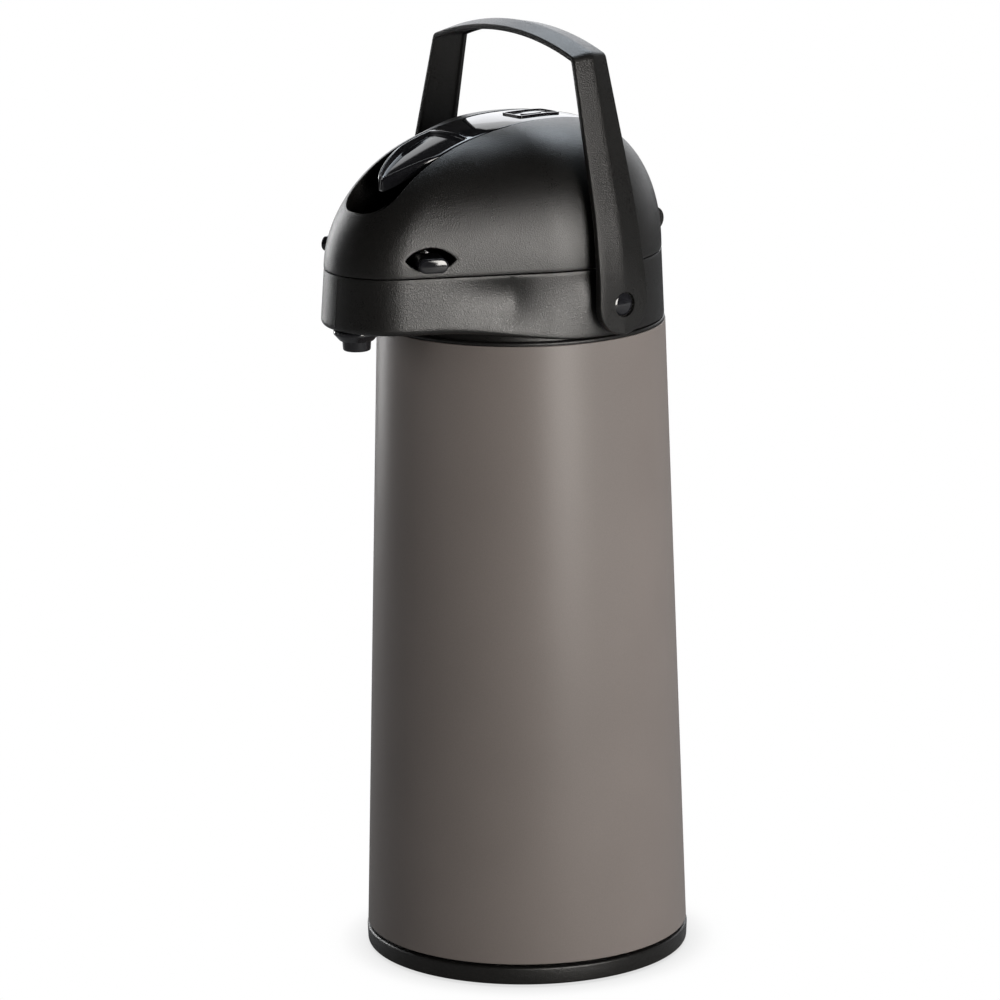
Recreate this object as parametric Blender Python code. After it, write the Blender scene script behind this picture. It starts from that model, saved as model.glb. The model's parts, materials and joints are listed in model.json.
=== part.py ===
"""Thermal coffee airpot: a glass-lined vacuum pot with a pump head, a press lever and a bail handle.

Every length in this file is in millimetres; new_object() turns a finished mesh into metres.
The origin is the centre of the underside, +Z is up and the spout nose points along -Y.
"""

import math

import bmesh
import bpy
from mathutils import Matrix, Vector

MM = 0.001
GAP = 0.3
VISIBLE_STEPS = 48
HIDDEN_STEPS = 24

# Body and base
FOOT_RADIUS = 70.5
BASE_TOP = 8.3
SHELL_BOTTOM = 9.6
SHELL_TOP = 277.8
SHELL_RADIUS_BOTTOM = 70.0
SHELL_RADIUS_TOP = 61.9
SHELL_WALL = 0.8

# Vacuum flask
FLASK_RADIUS = 60.5
FLASK_BOTTOM = 20.5
FLASK_CORNER = 28.0
FLASK_SHOULDER_START = 236.0
FLASK_NECK_RADIUS = 32.0
FLASK_NECK_FILLET = 6.0
FLASK_NECK_TOP = 287.0
GLASS_WALL = 1.5
VACUUM_GAP = 2.5
MOUTH_RADIUS = 26.5

# Head outline: a rear circle on the pot's axis and a nose circle in front of it, joined by flat flanks
SEAM_Z = 308.7
HEAD_RADIUS = 60.4
NOSE_RADIUS = 29.9
NOSE_REACH = 97.3
LID_TOP = 366.0
LID_WALL = 2.2
SEAM_HALF_GAP = 0.2
HEAD_STATIONS = 48
NOSE_CROWDING = 0.35

# Collar: its lower edge climbs from the shell to the underside of the nose between the two slope ends
COLLAR_FLARE = 1.0
NOSE_FLARE = 1.6
COLLAR_WALL = 2.4
COLLAR_BORE = 58.9
COLLAR_FLOOR = 2.4
COLLAR_BOTTOM = 279.7
NOSE_BOTTOM = 284.8
SLOPE_START_Y = -12.0
SLOPE_END_Y = -72.0
EDGE_ROUNDING = 0.8
NOSE_EDGE_ROUNDING = 2.6

# Spout
SPOUT_Y = -88.0
DIP_TUBE_Y = -12.0
AIR_PORT_Y = 10.0

# Lid hinge at the rear
HINGE_Y = 66.6
HINGE_Z = 314.2
KNUCKLE_RADIUS = 5.2

# Press lever and its well
LEVER_PIVOT_Y = 40.0
LEVER_PIVOT_Z = 345.0
LEVER_TRAVEL = math.radians(12.0)
LEVER_TIP_Y = -74.1
LEVER_REAR_Y = 45.5
LEVER_HALF_WIDTH = 14.5
LEVER_THICKNESS = 3.5
RIB_HALF_LENGTH = 3.0
RIB_BOTTOM = 355.0
HUB_START_Y = 36.0
HUB_DROP = 4.5
WELL_HALF_WIDTH = 15.0
WELL_FRONT_Y = -87.8
WELL_REAR_Y = 46.6
WELL_WALL = 2.0
WELL_FLOOR = 342.3

# Pump and the plate that carries it
PLATE_BOTTOM = 309.4
PLATE_TOP = 311.4
SCREW_SPOTS = [(-30.0, -48.0), (30.0, -48.0), (-38.0, 28.0), (38.0, 28.0)]
BELLOWS_BOTTOM = 311.8
BELLOWS_TOP = 336.8
PLUNGER_STEM_RADIUS = 8.0

# Pinch buttons, placed on the flat flanks of the lid
BUTTON_SPOT = Vector((31.3, -72.2, 315.8))
BUTTON_OUT = 6.5
BUTTON_LENGTH = 12.4
BUTTON_HEIGHT = 6.2

# Bail handle
HANDLE_PIVOT_Z = 294.0
HANDLE_OUTER_X = 70.1
HANDLE_TOP_Z = 406.5
HANDLE_BAR_RADIUS = 140.0
HANDLE_CORNER_RADIUS = 5.0
HANDLE_END_RADIUS = 12.8
HANDLE_TOP_HALF_WIDTH = 8.75
HANDLE_THICKNESS = 4.0
LEG_BEND_RADIUS = 186.0
LEG_LEAN = math.radians(14.6)
PIN_RADIUS = 2.9
PIN_HEAD_RADIUS = 4.8


# ---------------------------------------------------------------- scene and materials


def clear_scene():
    for obj in list(bpy.data.objects):
        bpy.data.objects.remove(obj, do_unlink=True)


def principled(name, colour, roughness, metallic=0.0):
    material = bpy.data.materials.new(name)
    material.use_nodes = True
    shader = material.node_tree.nodes["Principled BSDF"]
    shader.inputs["Base Color"].default_value = (*colour, 1.0)
    shader.inputs["Roughness"].default_value = roughness
    shader.inputs["Metallic"].default_value = metallic
    material.diffuse_color = (*colour, 1.0)
    return material


def make_materials():
    return {
        "textured_plastic": principled("textured_plastic", (0.022, 0.021, 0.021), 0.48),
        "gloss_plastic": principled("gloss_plastic", (0.008, 0.008, 0.010), 0.10),
        "painted_shell": principled("painted_shell", (0.170, 0.148, 0.132), 0.40),
        "inner_plastic": principled("inner_plastic", (0.060, 0.060, 0.062), 0.50),
        "white_plastic": principled("white_plastic", (0.700, 0.700, 0.680), 0.45),
        "silver_glass": principled("silver_glass", (0.800, 0.810, 0.820), 0.08, 1.0),
        "rubber": principled("rubber", (0.030, 0.030, 0.030), 0.80),
        "silicone": principled("silicone", (0.550, 0.540, 0.520), 0.60),
        "steel": principled("steel", (0.600, 0.600, 0.600), 0.30, 1.0),
    }


# ---------------------------------------------------------------- mesh builders


def new_object(name, bm, material, helper=False):
    bmesh.ops.recalc_face_normals(bm, faces=bm.faces)
    bmesh.ops.scale(bm, vec=(MM, MM, MM), verts=bm.verts)
    mesh = bpy.data.meshes.new(name)
    bm.to_mesh(mesh)
    bm.free()
    mesh.shade_smooth()
    mesh.set_sharp_from_angle(angle=math.radians(35))
    if material:
        mesh.materials.append(material)
    obj = bpy.data.objects.new(name, mesh)
    bpy.context.scene.collection.objects.link(obj)
    if helper:
        obj.hide_render = True
        obj.display_type = "WIRE"
    return obj


def turned(name, profile, material, steps=HIDDEN_STEPS, centre=(0.0, 0.0), helper=False):
    """Spins a (radius, z) profile round a vertical axis. A profile that leaves the axis is closed."""
    bm = bmesh.new()
    verts = [bm.verts.new((centre[0] + radius, centre[1], z)) for radius, z in profile]
    for first, second in zip(verts, verts[1:]):
        bm.edges.new((first, second))
    if profile[0][0] > 0:
        bm.edges.new((verts[-1], verts[0]))
    bmesh.ops.spin(
        bm,
        geom=bm.verts[:] + bm.edges[:],
        cent=(centre[0], centre[1], 0),
        axis=(0, 0, 1),
        angle=math.tau,
        steps=steps,
        use_merge=True,
    )
    bmesh.ops.remove_doubles(bm, verts=bm.verts, dist=1e-4)
    return new_object(name, bm, material, helper)


def ring(name, inner, outer, bottom, top, material, steps=HIDDEN_STEPS, centre=(0.0, 0.0)):
    profile = [(inner, bottom), (outer, bottom), (outer, top), (inner, top)]
    return turned(name, profile, material, steps, centre)


def loft(name, sections, material, closed=False, helper=False):
    """Joins loops of equal length. A closed loft joins its last loop to its first; an open one is capped."""
    bm = bmesh.new()
    loops = [[bm.verts.new(point) for point in section] for section in sections]
    pairs = list(zip(loops, loops[1:]))
    if closed:
        pairs.append((loops[-1], loops[0]))
    else:
        bm.faces.new(loops[0])
        bm.faces.new(loops[-1])
    count = len(loops[0])
    for first, second in pairs:
        for i in range(count):
            j = (i + 1) % count
            bm.faces.new((first[i], first[j], second[j], second[i]))
    return new_object(name, bm, material, helper)


def extruded(name, outline, start, end, to_world, material, helper=False):
    """Extrudes a 2-D outline from start to end; to_world(a, b, depth) places a point."""
    sections = [[to_world(a, b, depth) for a, b in outline] for depth in (start, end)]
    return loft(name, sections, material, helper=helper)


def cylinder(name, radius, start, end, material=None, steps=24, helper=True):
    """A round bar between two points."""
    start = Vector(start)
    end = Vector(end)
    bm = bmesh.new()
    bmesh.ops.create_cone(
        bm,
        cap_ends=True,
        segments=steps,
        radius1=radius,
        radius2=radius,
        depth=(end - start).length,
        matrix=Matrix.Translation((start + end) / 2)
        @ (end - start).to_track_quat("Z", "Y").to_matrix().to_4x4(),
    )
    return new_object(name, bm, material, helper)


def box(name, low, high, helper=True):
    bm = bmesh.new()
    bmesh.ops.create_cube(bm, size=1.0)
    size = [b - a for a, b in zip(low, high)]
    middle = [(a + b) / 2 for a, b in zip(low, high)]
    bmesh.ops.scale(bm, vec=size, verts=bm.verts)
    bmesh.ops.translate(bm, vec=middle, verts=bm.verts)
    return new_object(name, bm, None, helper)


def combine(obj, operation, *others):
    for other in others:
        modifier = obj.modifiers.new(other.name, "BOOLEAN")
        modifier.operation = operation
        modifier.object = other
        modifier.solver = "EXACT"


def cut(obj, *cutters):
    combine(obj, "DIFFERENCE", *cutters)


def join(obj, *others):
    combine(obj, "UNION", *others)


def circle_points(centre, across, up, radius, count):
    turns = [math.tau * i / count for i in range(count)]
    return [centre + radius * (math.cos(t) * across + math.sin(t) * up) for t in turns]


def pipe(name, path, radius, bore, material, count=12):
    """A bent tube with open ends along a path in the plane x = 0."""
    outer = []
    inner = []
    for i, point in enumerate(path):
        before = path[max(i - 1, 0)]
        after = path[min(i + 1, len(path) - 1)]
        across = Vector((1, 0, 0))
        up = (after - before).normalized().cross(across)
        outer.append(circle_points(point, across, up, radius, count))
        inner.append(circle_points(point, across, up, bore, count))
    return loft(name, outer + inner[::-1], material, closed=True)


def coil(name, start, axis, length, radius, wire, turns, material, per_turn=12):
    """A compression spring from start along axis."""
    axis = Vector(axis).normalized()
    side = axis.orthogonal().normalized()
    other = axis.cross(side)
    sections = []
    steps = int(turns * per_turn)
    for i in range(steps + 1):
        angle = math.tau * i / per_turn
        outward = math.cos(angle) * side + math.sin(angle) * other
        rise = wire + (length - 2 * wire) * i / steps
        centre = Vector(start) + axis * rise + outward * radius
        sections.append(circle_points(centre, outward, axis, wire, 6))
    return loft(name, sections, material)


def arc(centre, radius, start, end, count):
    """Points on an arc in a plane, with angles in degrees."""
    angles = [math.radians(start + (end - start) * i / count) for i in range(count + 1)]
    return [(centre[0] + radius * math.cos(a), centre[1] + radius * math.sin(a)) for a in angles]


def joint_axis(name, location, children):
    """An empty on a joint's axis that carries the moving pieces."""
    empty = bpy.data.objects.new(name, None)
    empty.location = Vector(location) * MM
    bpy.context.scene.collection.objects.link(empty)
    for child in children:
        child.parent = empty
        child.matrix_parent_inverse = Matrix.Translation(-empty.location)


# ---------------------------------------------------------------- base and swivel


def make_base(materials):
    black = materials["textured_plastic"]
    pad_radius = 65.0
    profile = [
        (0, 2.1),
        (pad_radius + GAP, 2.1),
        (pad_radius + GAP, 0.4),
        (FOOT_RADIUS - 0.8, 0.4),
        (FOOT_RADIUS, 1.2),
        (FOOT_RADIUS - 0.2, BASE_TOP - 0.5),
        (FOOT_RADIUS - 0.7, BASE_TOP),
        (66.6, BASE_TOP),
        (66.6, 5.0),
        (8.5, 5.0),
        (8.5, 12.3),
        (1.7, 12.3),
        (1.7, 6.5),
        (0, 6.5),
    ]
    turned("base_ring", profile, black, VISIBLE_STEPS)
    pad = [(0, 0), (pad_radius - 0.6, 0), (pad_radius, 0.6), (pad_radius, 1.8), (0, 1.8)]
    turned("foot_pad", pad, materials["rubber"], VISIBLE_STEPS)
    ring("glide_ring", 50.0, 56.0, 5.0 + GAP, 9.5, materials["white_plastic"])
    ring("swivel_washer", 1.9, 14.0, 12.6, 14.2, materials["steel"], 24)
    screw_profile = [(0, 7.0), (1.4, 7.6), (1.4, 14.5), (3.4, 14.5), (3.4, 16.4), (2.8, 17.0), (0, 17.0)]
    turned("swivel_screw", screw_profile, materials["steel"], 16)


def make_bottom_cap(materials):
    profile = [
        (9.0, 9.8),
        (68.4, 9.8),
        (68.0, 24.0),
        (66.0, 24.0),
        (66.3, 12.0),
        (47.0, 12.0),
        (47.0, 19.0),
        (45.0, 19.0),
        (45.0, 12.0),
        (9.0, 12.0),
    ]
    turned("bottom_cap", profile, materials["inner_plastic"])
    seat = [(16.5, 12.3), (44.7, 12.3), (44.7, 19.8), (36.0, 20.1), (16.5, 20.1)]
    turned("flask_cushion", seat, materials["rubber"])


def make_shell(materials):
    profile = [
        (SHELL_RADIUS_BOTTOM, SHELL_BOTTOM),
        (SHELL_RADIUS_TOP, SHELL_TOP),
        (SHELL_RADIUS_TOP - SHELL_WALL, SHELL_TOP),
        (SHELL_RADIUS_BOTTOM - SHELL_WALL, SHELL_BOTTOM),
    ]
    turned("outer_shell", profile, materials["painted_shell"], VISIBLE_STEPS)


# ---------------------------------------------------------------- flask and mouth


def bottle_outline(depth):
    """The flask's outline, moved into the glass by depth, from the bottom centre to the neck."""
    corner_x = FLASK_RADIUS - FLASK_CORNER
    shoulder = FLASK_RADIUS - FLASK_NECK_RADIUS - FLASK_NECK_FILLET
    neck_start = FLASK_SHOULDER_START + shoulder
    points = [(0.0, FLASK_BOTTOM + depth)]
    points += arc((corner_x, FLASK_BOTTOM + FLASK_CORNER), FLASK_CORNER - depth, -90, 0, 4)
    shoulder_x = FLASK_RADIUS - shoulder
    points += arc((shoulder_x, FLASK_SHOULDER_START), shoulder - depth, 0, 90, 4)
    fillet_centre = (FLASK_NECK_RADIUS + FLASK_NECK_FILLET, neck_start + FLASK_NECK_FILLET)
    points += arc(fillet_centre, FLASK_NECK_FILLET + depth, 270, 180, 2)[1:]
    return points


def make_flask(materials):
    silver = materials["silver_glass"]
    outside = bottle_outline(0.0) + [(FLASK_NECK_RADIUS, FLASK_NECK_TOP)]
    inside = bottle_outline(GLASS_WALL) + [(FLASK_NECK_RADIUS - GLASS_WALL, FLASK_NECK_TOP)]
    turned("flask_outer", outside + inside[::-1], silver)
    depth = GLASS_WALL + VACUUM_GAP
    lip = FLASK_NECK_TOP + GAP
    outside = bottle_outline(depth)
    neck = outside[-1][0]
    outside += [(neck, lip), (FLASK_NECK_RADIUS, lip), (FLASK_NECK_RADIUS, lip + 1.2)]
    inside = bottle_outline(depth + GLASS_WALL) + [(MOUTH_RADIUS, lip + 1.2)]
    turned("flask_inner", outside + inside[::-1], silver)
    ring("neck_gasket", 27.0, 33.0, 289.0, 291.2, materials["silicone"])


def make_mouth(materials):
    neck_radius = COLLAR_BORE - 2 * GAP
    shoulder = [
        (60.5, 262.0),
        (60.5, SHELL_TOP + GAP),
        (SHELL_RADIUS_TOP - 0.3, SHELL_TOP + GAP),
        (SHELL_RADIUS_TOP - 0.3, SHELL_TOP + 1.5),
        (neck_radius, SHELL_TOP + 1.5),
        (neck_radius, 297.0),
        (56.0, 297.0),
        (56.0, 281.0),
        (58.4, 277.0),
        (58.4, 262.0),
    ]
    turned("shoulder_ring", shoulder, materials["textured_plastic"], VISIBLE_STEPS)
    funnel_profile = [
        (26.6, 291.6),
        (40.0, 291.6),
        (55.0, 298.0),
        (58.2, 302.5),
        (58.2, 304.5),
        (56.5, 304.5),
        (53.8, 299.8),
        (39.5, 294.0),
        (26.6, 294.0),
    ]
    funnel = turned("mouth_funnel", funnel_profile, materials["inner_plastic"])
    cut(funnel, box("duct_notch_cutter", (-5.5, -64, 297.5), (5.5, -45, 312)))


def make_stopper(materials):
    white = materials["white_plastic"]
    disc = turned("stopper", [(0, 296.6), (38.3, 296.6), (38.3, 299.6), (0, 299.6)], white)
    join(disc, cylinder("tube_boss", 6.5, (0, DIP_TUBE_Y, 288), (0, DIP_TUBE_Y, 298)))
    tube_socket = cylinder("tube_socket_cutter", 4.3, (0, DIP_TUBE_Y, 286), (0, DIP_TUBE_Y, 297))
    duct_hole = cylinder("duct_hole_cutter", 3.2, (0, DIP_TUBE_Y, 290), (0, DIP_TUBE_Y, 302))
    air_hole = cylinder("air_hole_cutter", 3.2, (0, AIR_PORT_Y, 290), (0, AIR_PORT_Y, 302))
    cut(disc, tube_socket, duct_hole, air_hole)
    ring("stopper_gasket", 29.0, 38.0, 294.3, 296.3, materials["silicone"])
    ring("dip_tube", 3.0, 4.0, 30.0, 296.6, white, 16, (0, DIP_TUBE_Y))


def make_spout(materials):
    bend = 4.2
    low = 300.8
    path = [(DIP_TUBE_Y, low - 0.9)]
    path += [(DIP_TUBE_Y - bend + y, low + z) for y, z in arc((0, 0), bend, 0, 90, 4)]
    path += [(SPOUT_Y + bend + y, low + z) for y, z in arc((0, 0), bend, 90, 180, 4)]
    path.append((SPOUT_Y, 294.2))
    path = [Vector((0, y, z)) for y, z in path]
    pipe("outlet_duct", path, 4.0, 3.0, materials["white_plastic"])
    ring("spout_seal", 4.4, 6.6, 293.9, 298.0, materials["silicone"], 16, (0, SPOUT_Y))
    nozzle = [
        (3.6, 275.8),
        (5.4, 275.8),
        (5.9, 276.4),
        (6.1, 280.2),
        (7.2, 280.2),
        (9.7, 283.0),
        (9.7, NOSE_BOTTOM - GAP),
        (6.5, NOSE_BOTTOM - GAP),
        (6.5, 293.6),
        (4.0, 293.6),
        (3.6, 286.0),
    ]
    turned("spout_nozzle", nozzle, materials["gloss_plastic"], 24, (0, SPOUT_Y))


# ---------------------------------------------------------------- head shapes


def station_angles():
    """Directions round the head from the nose, crowded together at the nose."""
    turns = [math.tau * i / HEAD_STATIONS for i in range(HEAD_STATIONS)]
    return [t - NOSE_CROWDING * math.sin(t) for t in turns]


def hull_radius(angle, big, small, reach):
    """Distance from the pot's axis to the head outline, at an angle from the nose."""
    angle = abs((angle + math.pi) % math.tau - math.pi)
    centre = reach - small
    if centre <= big - small:
        return big
    flank_normal = math.pi / 2 - math.asin((big - small) / centre)
    nose_side = small * math.sin(flank_normal)
    nose_front = centre + small * math.cos(flank_normal)
    if angle <= math.atan2(nose_side, nose_front):
        return centre * math.cos(angle) + math.sqrt(small**2 - (centre * math.sin(angle)) ** 2)
    if angle < flank_normal:
        return big / math.cos(angle - flank_normal)
    return big


def around(angle, radius, z):
    return (radius * math.sin(angle), -radius * math.cos(angle), z)


def lid_radius(angle, rise, inset=0.0):
    """The dome's outline at a rise from 0 at the seam to 1 at the top."""
    big = (HEAD_RADIUS - inset) * (1 - rise**2.14) ** (1 / 3.17)
    reach = (NOSE_REACH - inset) * (1 - rise**1.86) ** (1 / 2.41)
    small = (NOSE_RADIUS - inset) * (1 - rise**3.37) ** (1 / 3.88)
    return hull_radius(angle, big, small, reach)


def lid_height(x, y):
    """Height of the dome's outer surface over a point."""
    angle = math.atan2(x, -y)
    distance = math.hypot(x, y)
    low = 0.0
    high = 1.0
    for _ in range(30):
        middle = (low + high) / 2
        if lid_radius(angle, middle) > distance:
            low = middle
        else:
            high = middle
    return SEAM_Z + (LID_TOP - SEAM_Z) * low


def dome_sections(inset, bottom, rings):
    """Rings of the dome from the bottom plane to just under its top."""
    steepest = 88.0
    sections = []
    for i in range(rings + 1):
        rise = math.sin(math.radians(steepest * i / rings)) ** 0.94
        z = SEAM_Z + (LID_TOP - inset - SEAM_Z) * rise
        z = max(z, bottom) if i else bottom
        sections.append([around(a, lid_radius(a, rise, inset), z) for a in station_angles()])
    return sections


# ---------------------------------------------------------------- collar


def collar_bottom(y):
    """The collar's lower edge climbs from the shell to the underside of the nose."""
    run = (y - SLOPE_START_Y) / (SLOPE_END_Y - SLOPE_START_Y)
    run = min(max(run, 0.0), 1.0)
    share = run * run * (3 - 2 * run)
    return COLLAR_BOTTOM + (NOSE_BOTTOM - COLLAR_BOTTOM) * share


def collar_station(angle):
    """A closed loop up the outside, across the rim, and down the inside of the collar."""
    top = SEAM_Z - SEAM_HALF_GAP
    upper = hull_radius(angle, HEAD_RADIUS, NOSE_RADIUS, NOSE_REACH)
    lower = hull_radius(
        angle, HEAD_RADIUS + COLLAR_FLARE, NOSE_RADIUS + COLLAR_FLARE, NOSE_REACH + NOSE_FLARE
    )
    bottom = collar_bottom(-lower * math.cos(angle))
    nose_share = (bottom - COLLAR_BOTTOM) / (NOSE_BOTTOM - COLLAR_BOTTOM)
    rounding = EDGE_ROUNDING + (NOSE_EDGE_ROUNDING - EDGE_ROUNDING) * nose_share
    inside = max(COLLAR_BORE, upper - COLLAR_WALL)
    profile = [
        (upper, top),
        (lower, bottom + rounding),
        (lower - 0.3 * rounding, bottom + 0.3 * rounding),
        (lower - rounding, bottom),
        (COLLAR_BORE, bottom),
        (COLLAR_BORE, bottom + COLLAR_FLOOR),
        (inside, bottom + COLLAR_FLOOR),
        (inside, top),
    ]
    return [around(angle, radius, z) for radius, z in profile]


def make_collar(materials):
    black = materials["textured_plastic"]
    collar = loft("head_collar", [collar_station(a) for a in station_angles()], black, closed=True)
    for side in (-1, 1):
        name = "left" if side < 0 else "right"
        start = (side * 59.3, 0, HANDLE_PIVOT_Z)
        end = (side * (HANDLE_OUTER_X - HANDLE_THICKNESS - 0.4), 0, HANDLE_PIVOT_Z)
        join(collar, cylinder("pivot_boss_" + name, 9.0, start, end))
        ear = extruded("hinge_ear_" + name, ear_outline(), side * 5.0, side * 10.0, along_x, None, True)
        join(collar, ear)
        join(collar, catch_ledge("catch_ledge_" + name, side))
        reach = (side * 70.0, 0, HANDLE_PIVOT_Z)
        cut(collar, cylinder("pivot_hole_" + name, PIN_RADIUS + 0.4, (side * 50.0, 0, HANDLE_PIVOT_Z), reach))
    cut(collar, cylinder("nozzle_hole", 6.9, (0, SPOUT_Y, 280), (0, SPOUT_Y, 296)))
    cut(collar, cylinder("collar_hinge_hole", 2.1, (-15, HINGE_Y, HINGE_Z), (15, HINGE_Y, HINGE_Z)))


def along_x(y, z, x):
    return (x, y, z)


def ear_outline():
    """Side view of a hinge ear, in (y, z): its foot on the collar wall and its round end on the hinge."""
    foot = [(HINGE_Y - KNUCKLE_RADIUS, 307.5), (59.6, 307.5), (59.6, 298.0), (62.4, 298.0)]
    return arc((HINGE_Y, HINGE_Z), KNUCKLE_RADIUS, -50, 180, 10) + foot


def make_hinge_pin(materials):
    start = (-10.3, HINGE_Y, HINGE_Z)
    end = (10.3, HINGE_Y, HINGE_Z)
    cylinder("hinge_pin", 1.8, start, end, materials["steel"], 16, helper=False)


# ---------------------------------------------------------------- lid


def well_half_width(y):
    front_centre = WELL_FRONT_Y + WELL_HALF_WIDTH
    if y >= front_centre:
        return WELL_HALF_WIDTH
    return math.sqrt(max(WELL_HALF_WIDTH**2 - (front_centre - y) ** 2, 1.0))


def pressed(y, z):
    """Where a point of the lever is when the lever is fully pressed."""
    dy = y - LEVER_PIVOT_Y
    dz = z - LEVER_PIVOT_Z
    cosine = math.cos(LEVER_TRAVEL)
    sine = math.sin(LEVER_TRAVEL)
    return (LEVER_PIVOT_Y + dy * cosine - dz * sine, LEVER_PIVOT_Z + dy * sine + dz * cosine)


def well_floor_line():
    """(y, z) points of the well's floor from the scoop's rim to the lever's pivot."""
    clearance = 0.9
    under_lever = []
    for y in (LEVER_TIP_Y, -60.0, -45.0):
        low_y, low_z = pressed(y, lever_surface(lever_half_width(y), y) - LEVER_THICKNESS)
        under_lever.append((low_y, low_z - clearance))
    bowl_depth = under_lever[0][1] - 0.6
    bowl_centre = WELL_FRONT_Y + WELL_HALF_WIDTH
    rim = lid_height(0.0, WELL_FRONT_Y) - 1.5
    bowl = []
    for angle in (80, 62, 45, 22, 0):
        share = math.sin(math.radians(angle))
        height = bowl_depth + (rim - bowl_depth) * (1 - math.cos(math.radians(angle)))
        bowl.append((bowl_centre - WELL_HALF_WIDTH * share, height))
    hub_floor = LEVER_PIVOT_Z - HUB_DROP - clearance
    rear = [(-32.0, WELL_FLOOR), (29.0, WELL_FLOOR), (33.0, hub_floor), (WELL_REAR_Y, hub_floor)]
    return bowl + under_lever + rear


def well_sections(grow, top):
    """Box-shaped sections of the well from front to rear, grown outwards by a wall."""
    line = well_floor_line()
    line = [(line[0][0] - grow, line[0][1])] + line[1:-1] + [(line[-1][0] + grow, line[-1][1])]
    sections = []
    for y, z in line:
        half = well_half_width(y + grow if y < WELL_FRONT_Y + 4 else y) + grow
        low = z - grow
        sections.append([(-half, y, low), (half, y, low), (half, y, top), (-half, y, top)])
    return sections


def make_lid_shell(materials):
    black = materials["textured_plastic"]
    bottom = SEAM_Z + SEAM_HALF_GAP
    lid = loft("lid_shell", dome_sections(0.0, bottom, 10), black)
    cavity = loft("lid_cavity", dome_sections(LID_WALL, SEAM_Z - 6, 9), None, helper=True)
    cut(cavity, loft("well_block", well_sections(WELL_WALL, 390.0), None, helper=True))
    for i, (x, y) in enumerate(SCREW_SPOTS):
        cut(cavity, cylinder(f"screw_boss_{i}", 4.0, (x, y, PLATE_TOP + GAP), (x, y, 380), steps=16))
    cut(lid, cavity)
    cut(lid, loft("well_pocket", well_sections(0.0, 385.0), None, helper=True))
    cut(lid, cylinder("plunger_hole", PLUNGER_STEM_RADIUS + 0.6, (0, 0, 330), (0, 0, 350)))
    pivot = (0, LEVER_PIVOT_Y, LEVER_PIVOT_Z)
    side = Vector((18.6, 0, 0))
    cut(lid, cylinder("lever_pin_hole", 2.3, Vector(pivot) - side, Vector(pivot) + side))
    for i, (x, y) in enumerate(SCREW_SPOTS):
        cut(lid, cylinder(f"screw_bore_{i}", 1.7, (x, y, 306), (x, y, 324), steps=12))
    join(lid, box("hinge_arm", (-4.6, 58.8, 309.3), (4.6, HINGE_Y, 319.2)))
    join(lid, cylinder("lid_knuckle", KNUCKLE_RADIUS, (-4.6, HINGE_Y, HINGE_Z), (4.6, HINGE_Y, HINGE_Z)))
    cut(lid, cylinder("lid_hinge_hole", 2.1, (-15, HINGE_Y, HINGE_Z), (15, HINGE_Y, HINGE_Z)))
    for side_sign in (-1, 1):
        cut(lid, eye_cutter("eye_cutter_left" if side_sign < 0 else "eye_cutter_right", side_sign))
    return lid


def make_lid_plate(materials):
    inset = 4.2
    rim = []
    for angle in station_angles():
        radius = hull_radius(angle, HEAD_RADIUS - inset, NOSE_RADIUS - inset, NOSE_REACH - inset)
        rim.append((angle, radius))
    sections = [[around(angle, radius, z) for angle, radius in rim] for z in (PLATE_BOTTOM, PLATE_TOP)]
    plate = loft("lid_plate", sections, materials["inner_plastic"])
    join(plate, cylinder("air_boss", 8.0, (0, AIR_PORT_Y, 302.2), (0, AIR_PORT_Y, 310.5)))
    cut(plate, cylinder("air_bore", 3.0, (0, AIR_PORT_Y, 300), (0, AIR_PORT_Y, 313)))
    for i, (x, y) in enumerate(SCREW_SPOTS):
        cut(plate, cylinder(f"plate_hole_{i}", 1.9, (x, y, 306), (x, y, 314), steps=12))
    for side in (-1, 1):
        low = PLATE_BOTTOM - BUTTON_SPOT.z - 2.0
        high = low + 5.0
        notch = [(-5.0, low), (5.0, low), (5.0, high), (-5.0, high)]
        cut(plate, extruded(f"hook_notch_{side}", notch, -12.6, 2.0, flank_frame(side), None, True))
    port = (0, AIR_PORT_Y)
    ring("air_port_gasket", 3.4, 7.6, 299.9, 301.9, materials["silicone"], 20, port)
    disc = [(0, 311.7), (6, 311.7), (6, 312.5), (0, 312.5)]
    turned("check_valve_disc", disc, materials["silicone"], 20, port)
    for i, (x, y) in enumerate(SCREW_SPOTS):
        profile = [(0, 306.8), (3.0, 307.2), (3.0, 309.1), (1.3, 309.1), (1.3, 321.0), (0, 322.0)]
        turned(f"lid_screw_{i + 1}", profile, materials["steel"], 12, (x, y))


# ---------------------------------------------------------------- pump


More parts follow.
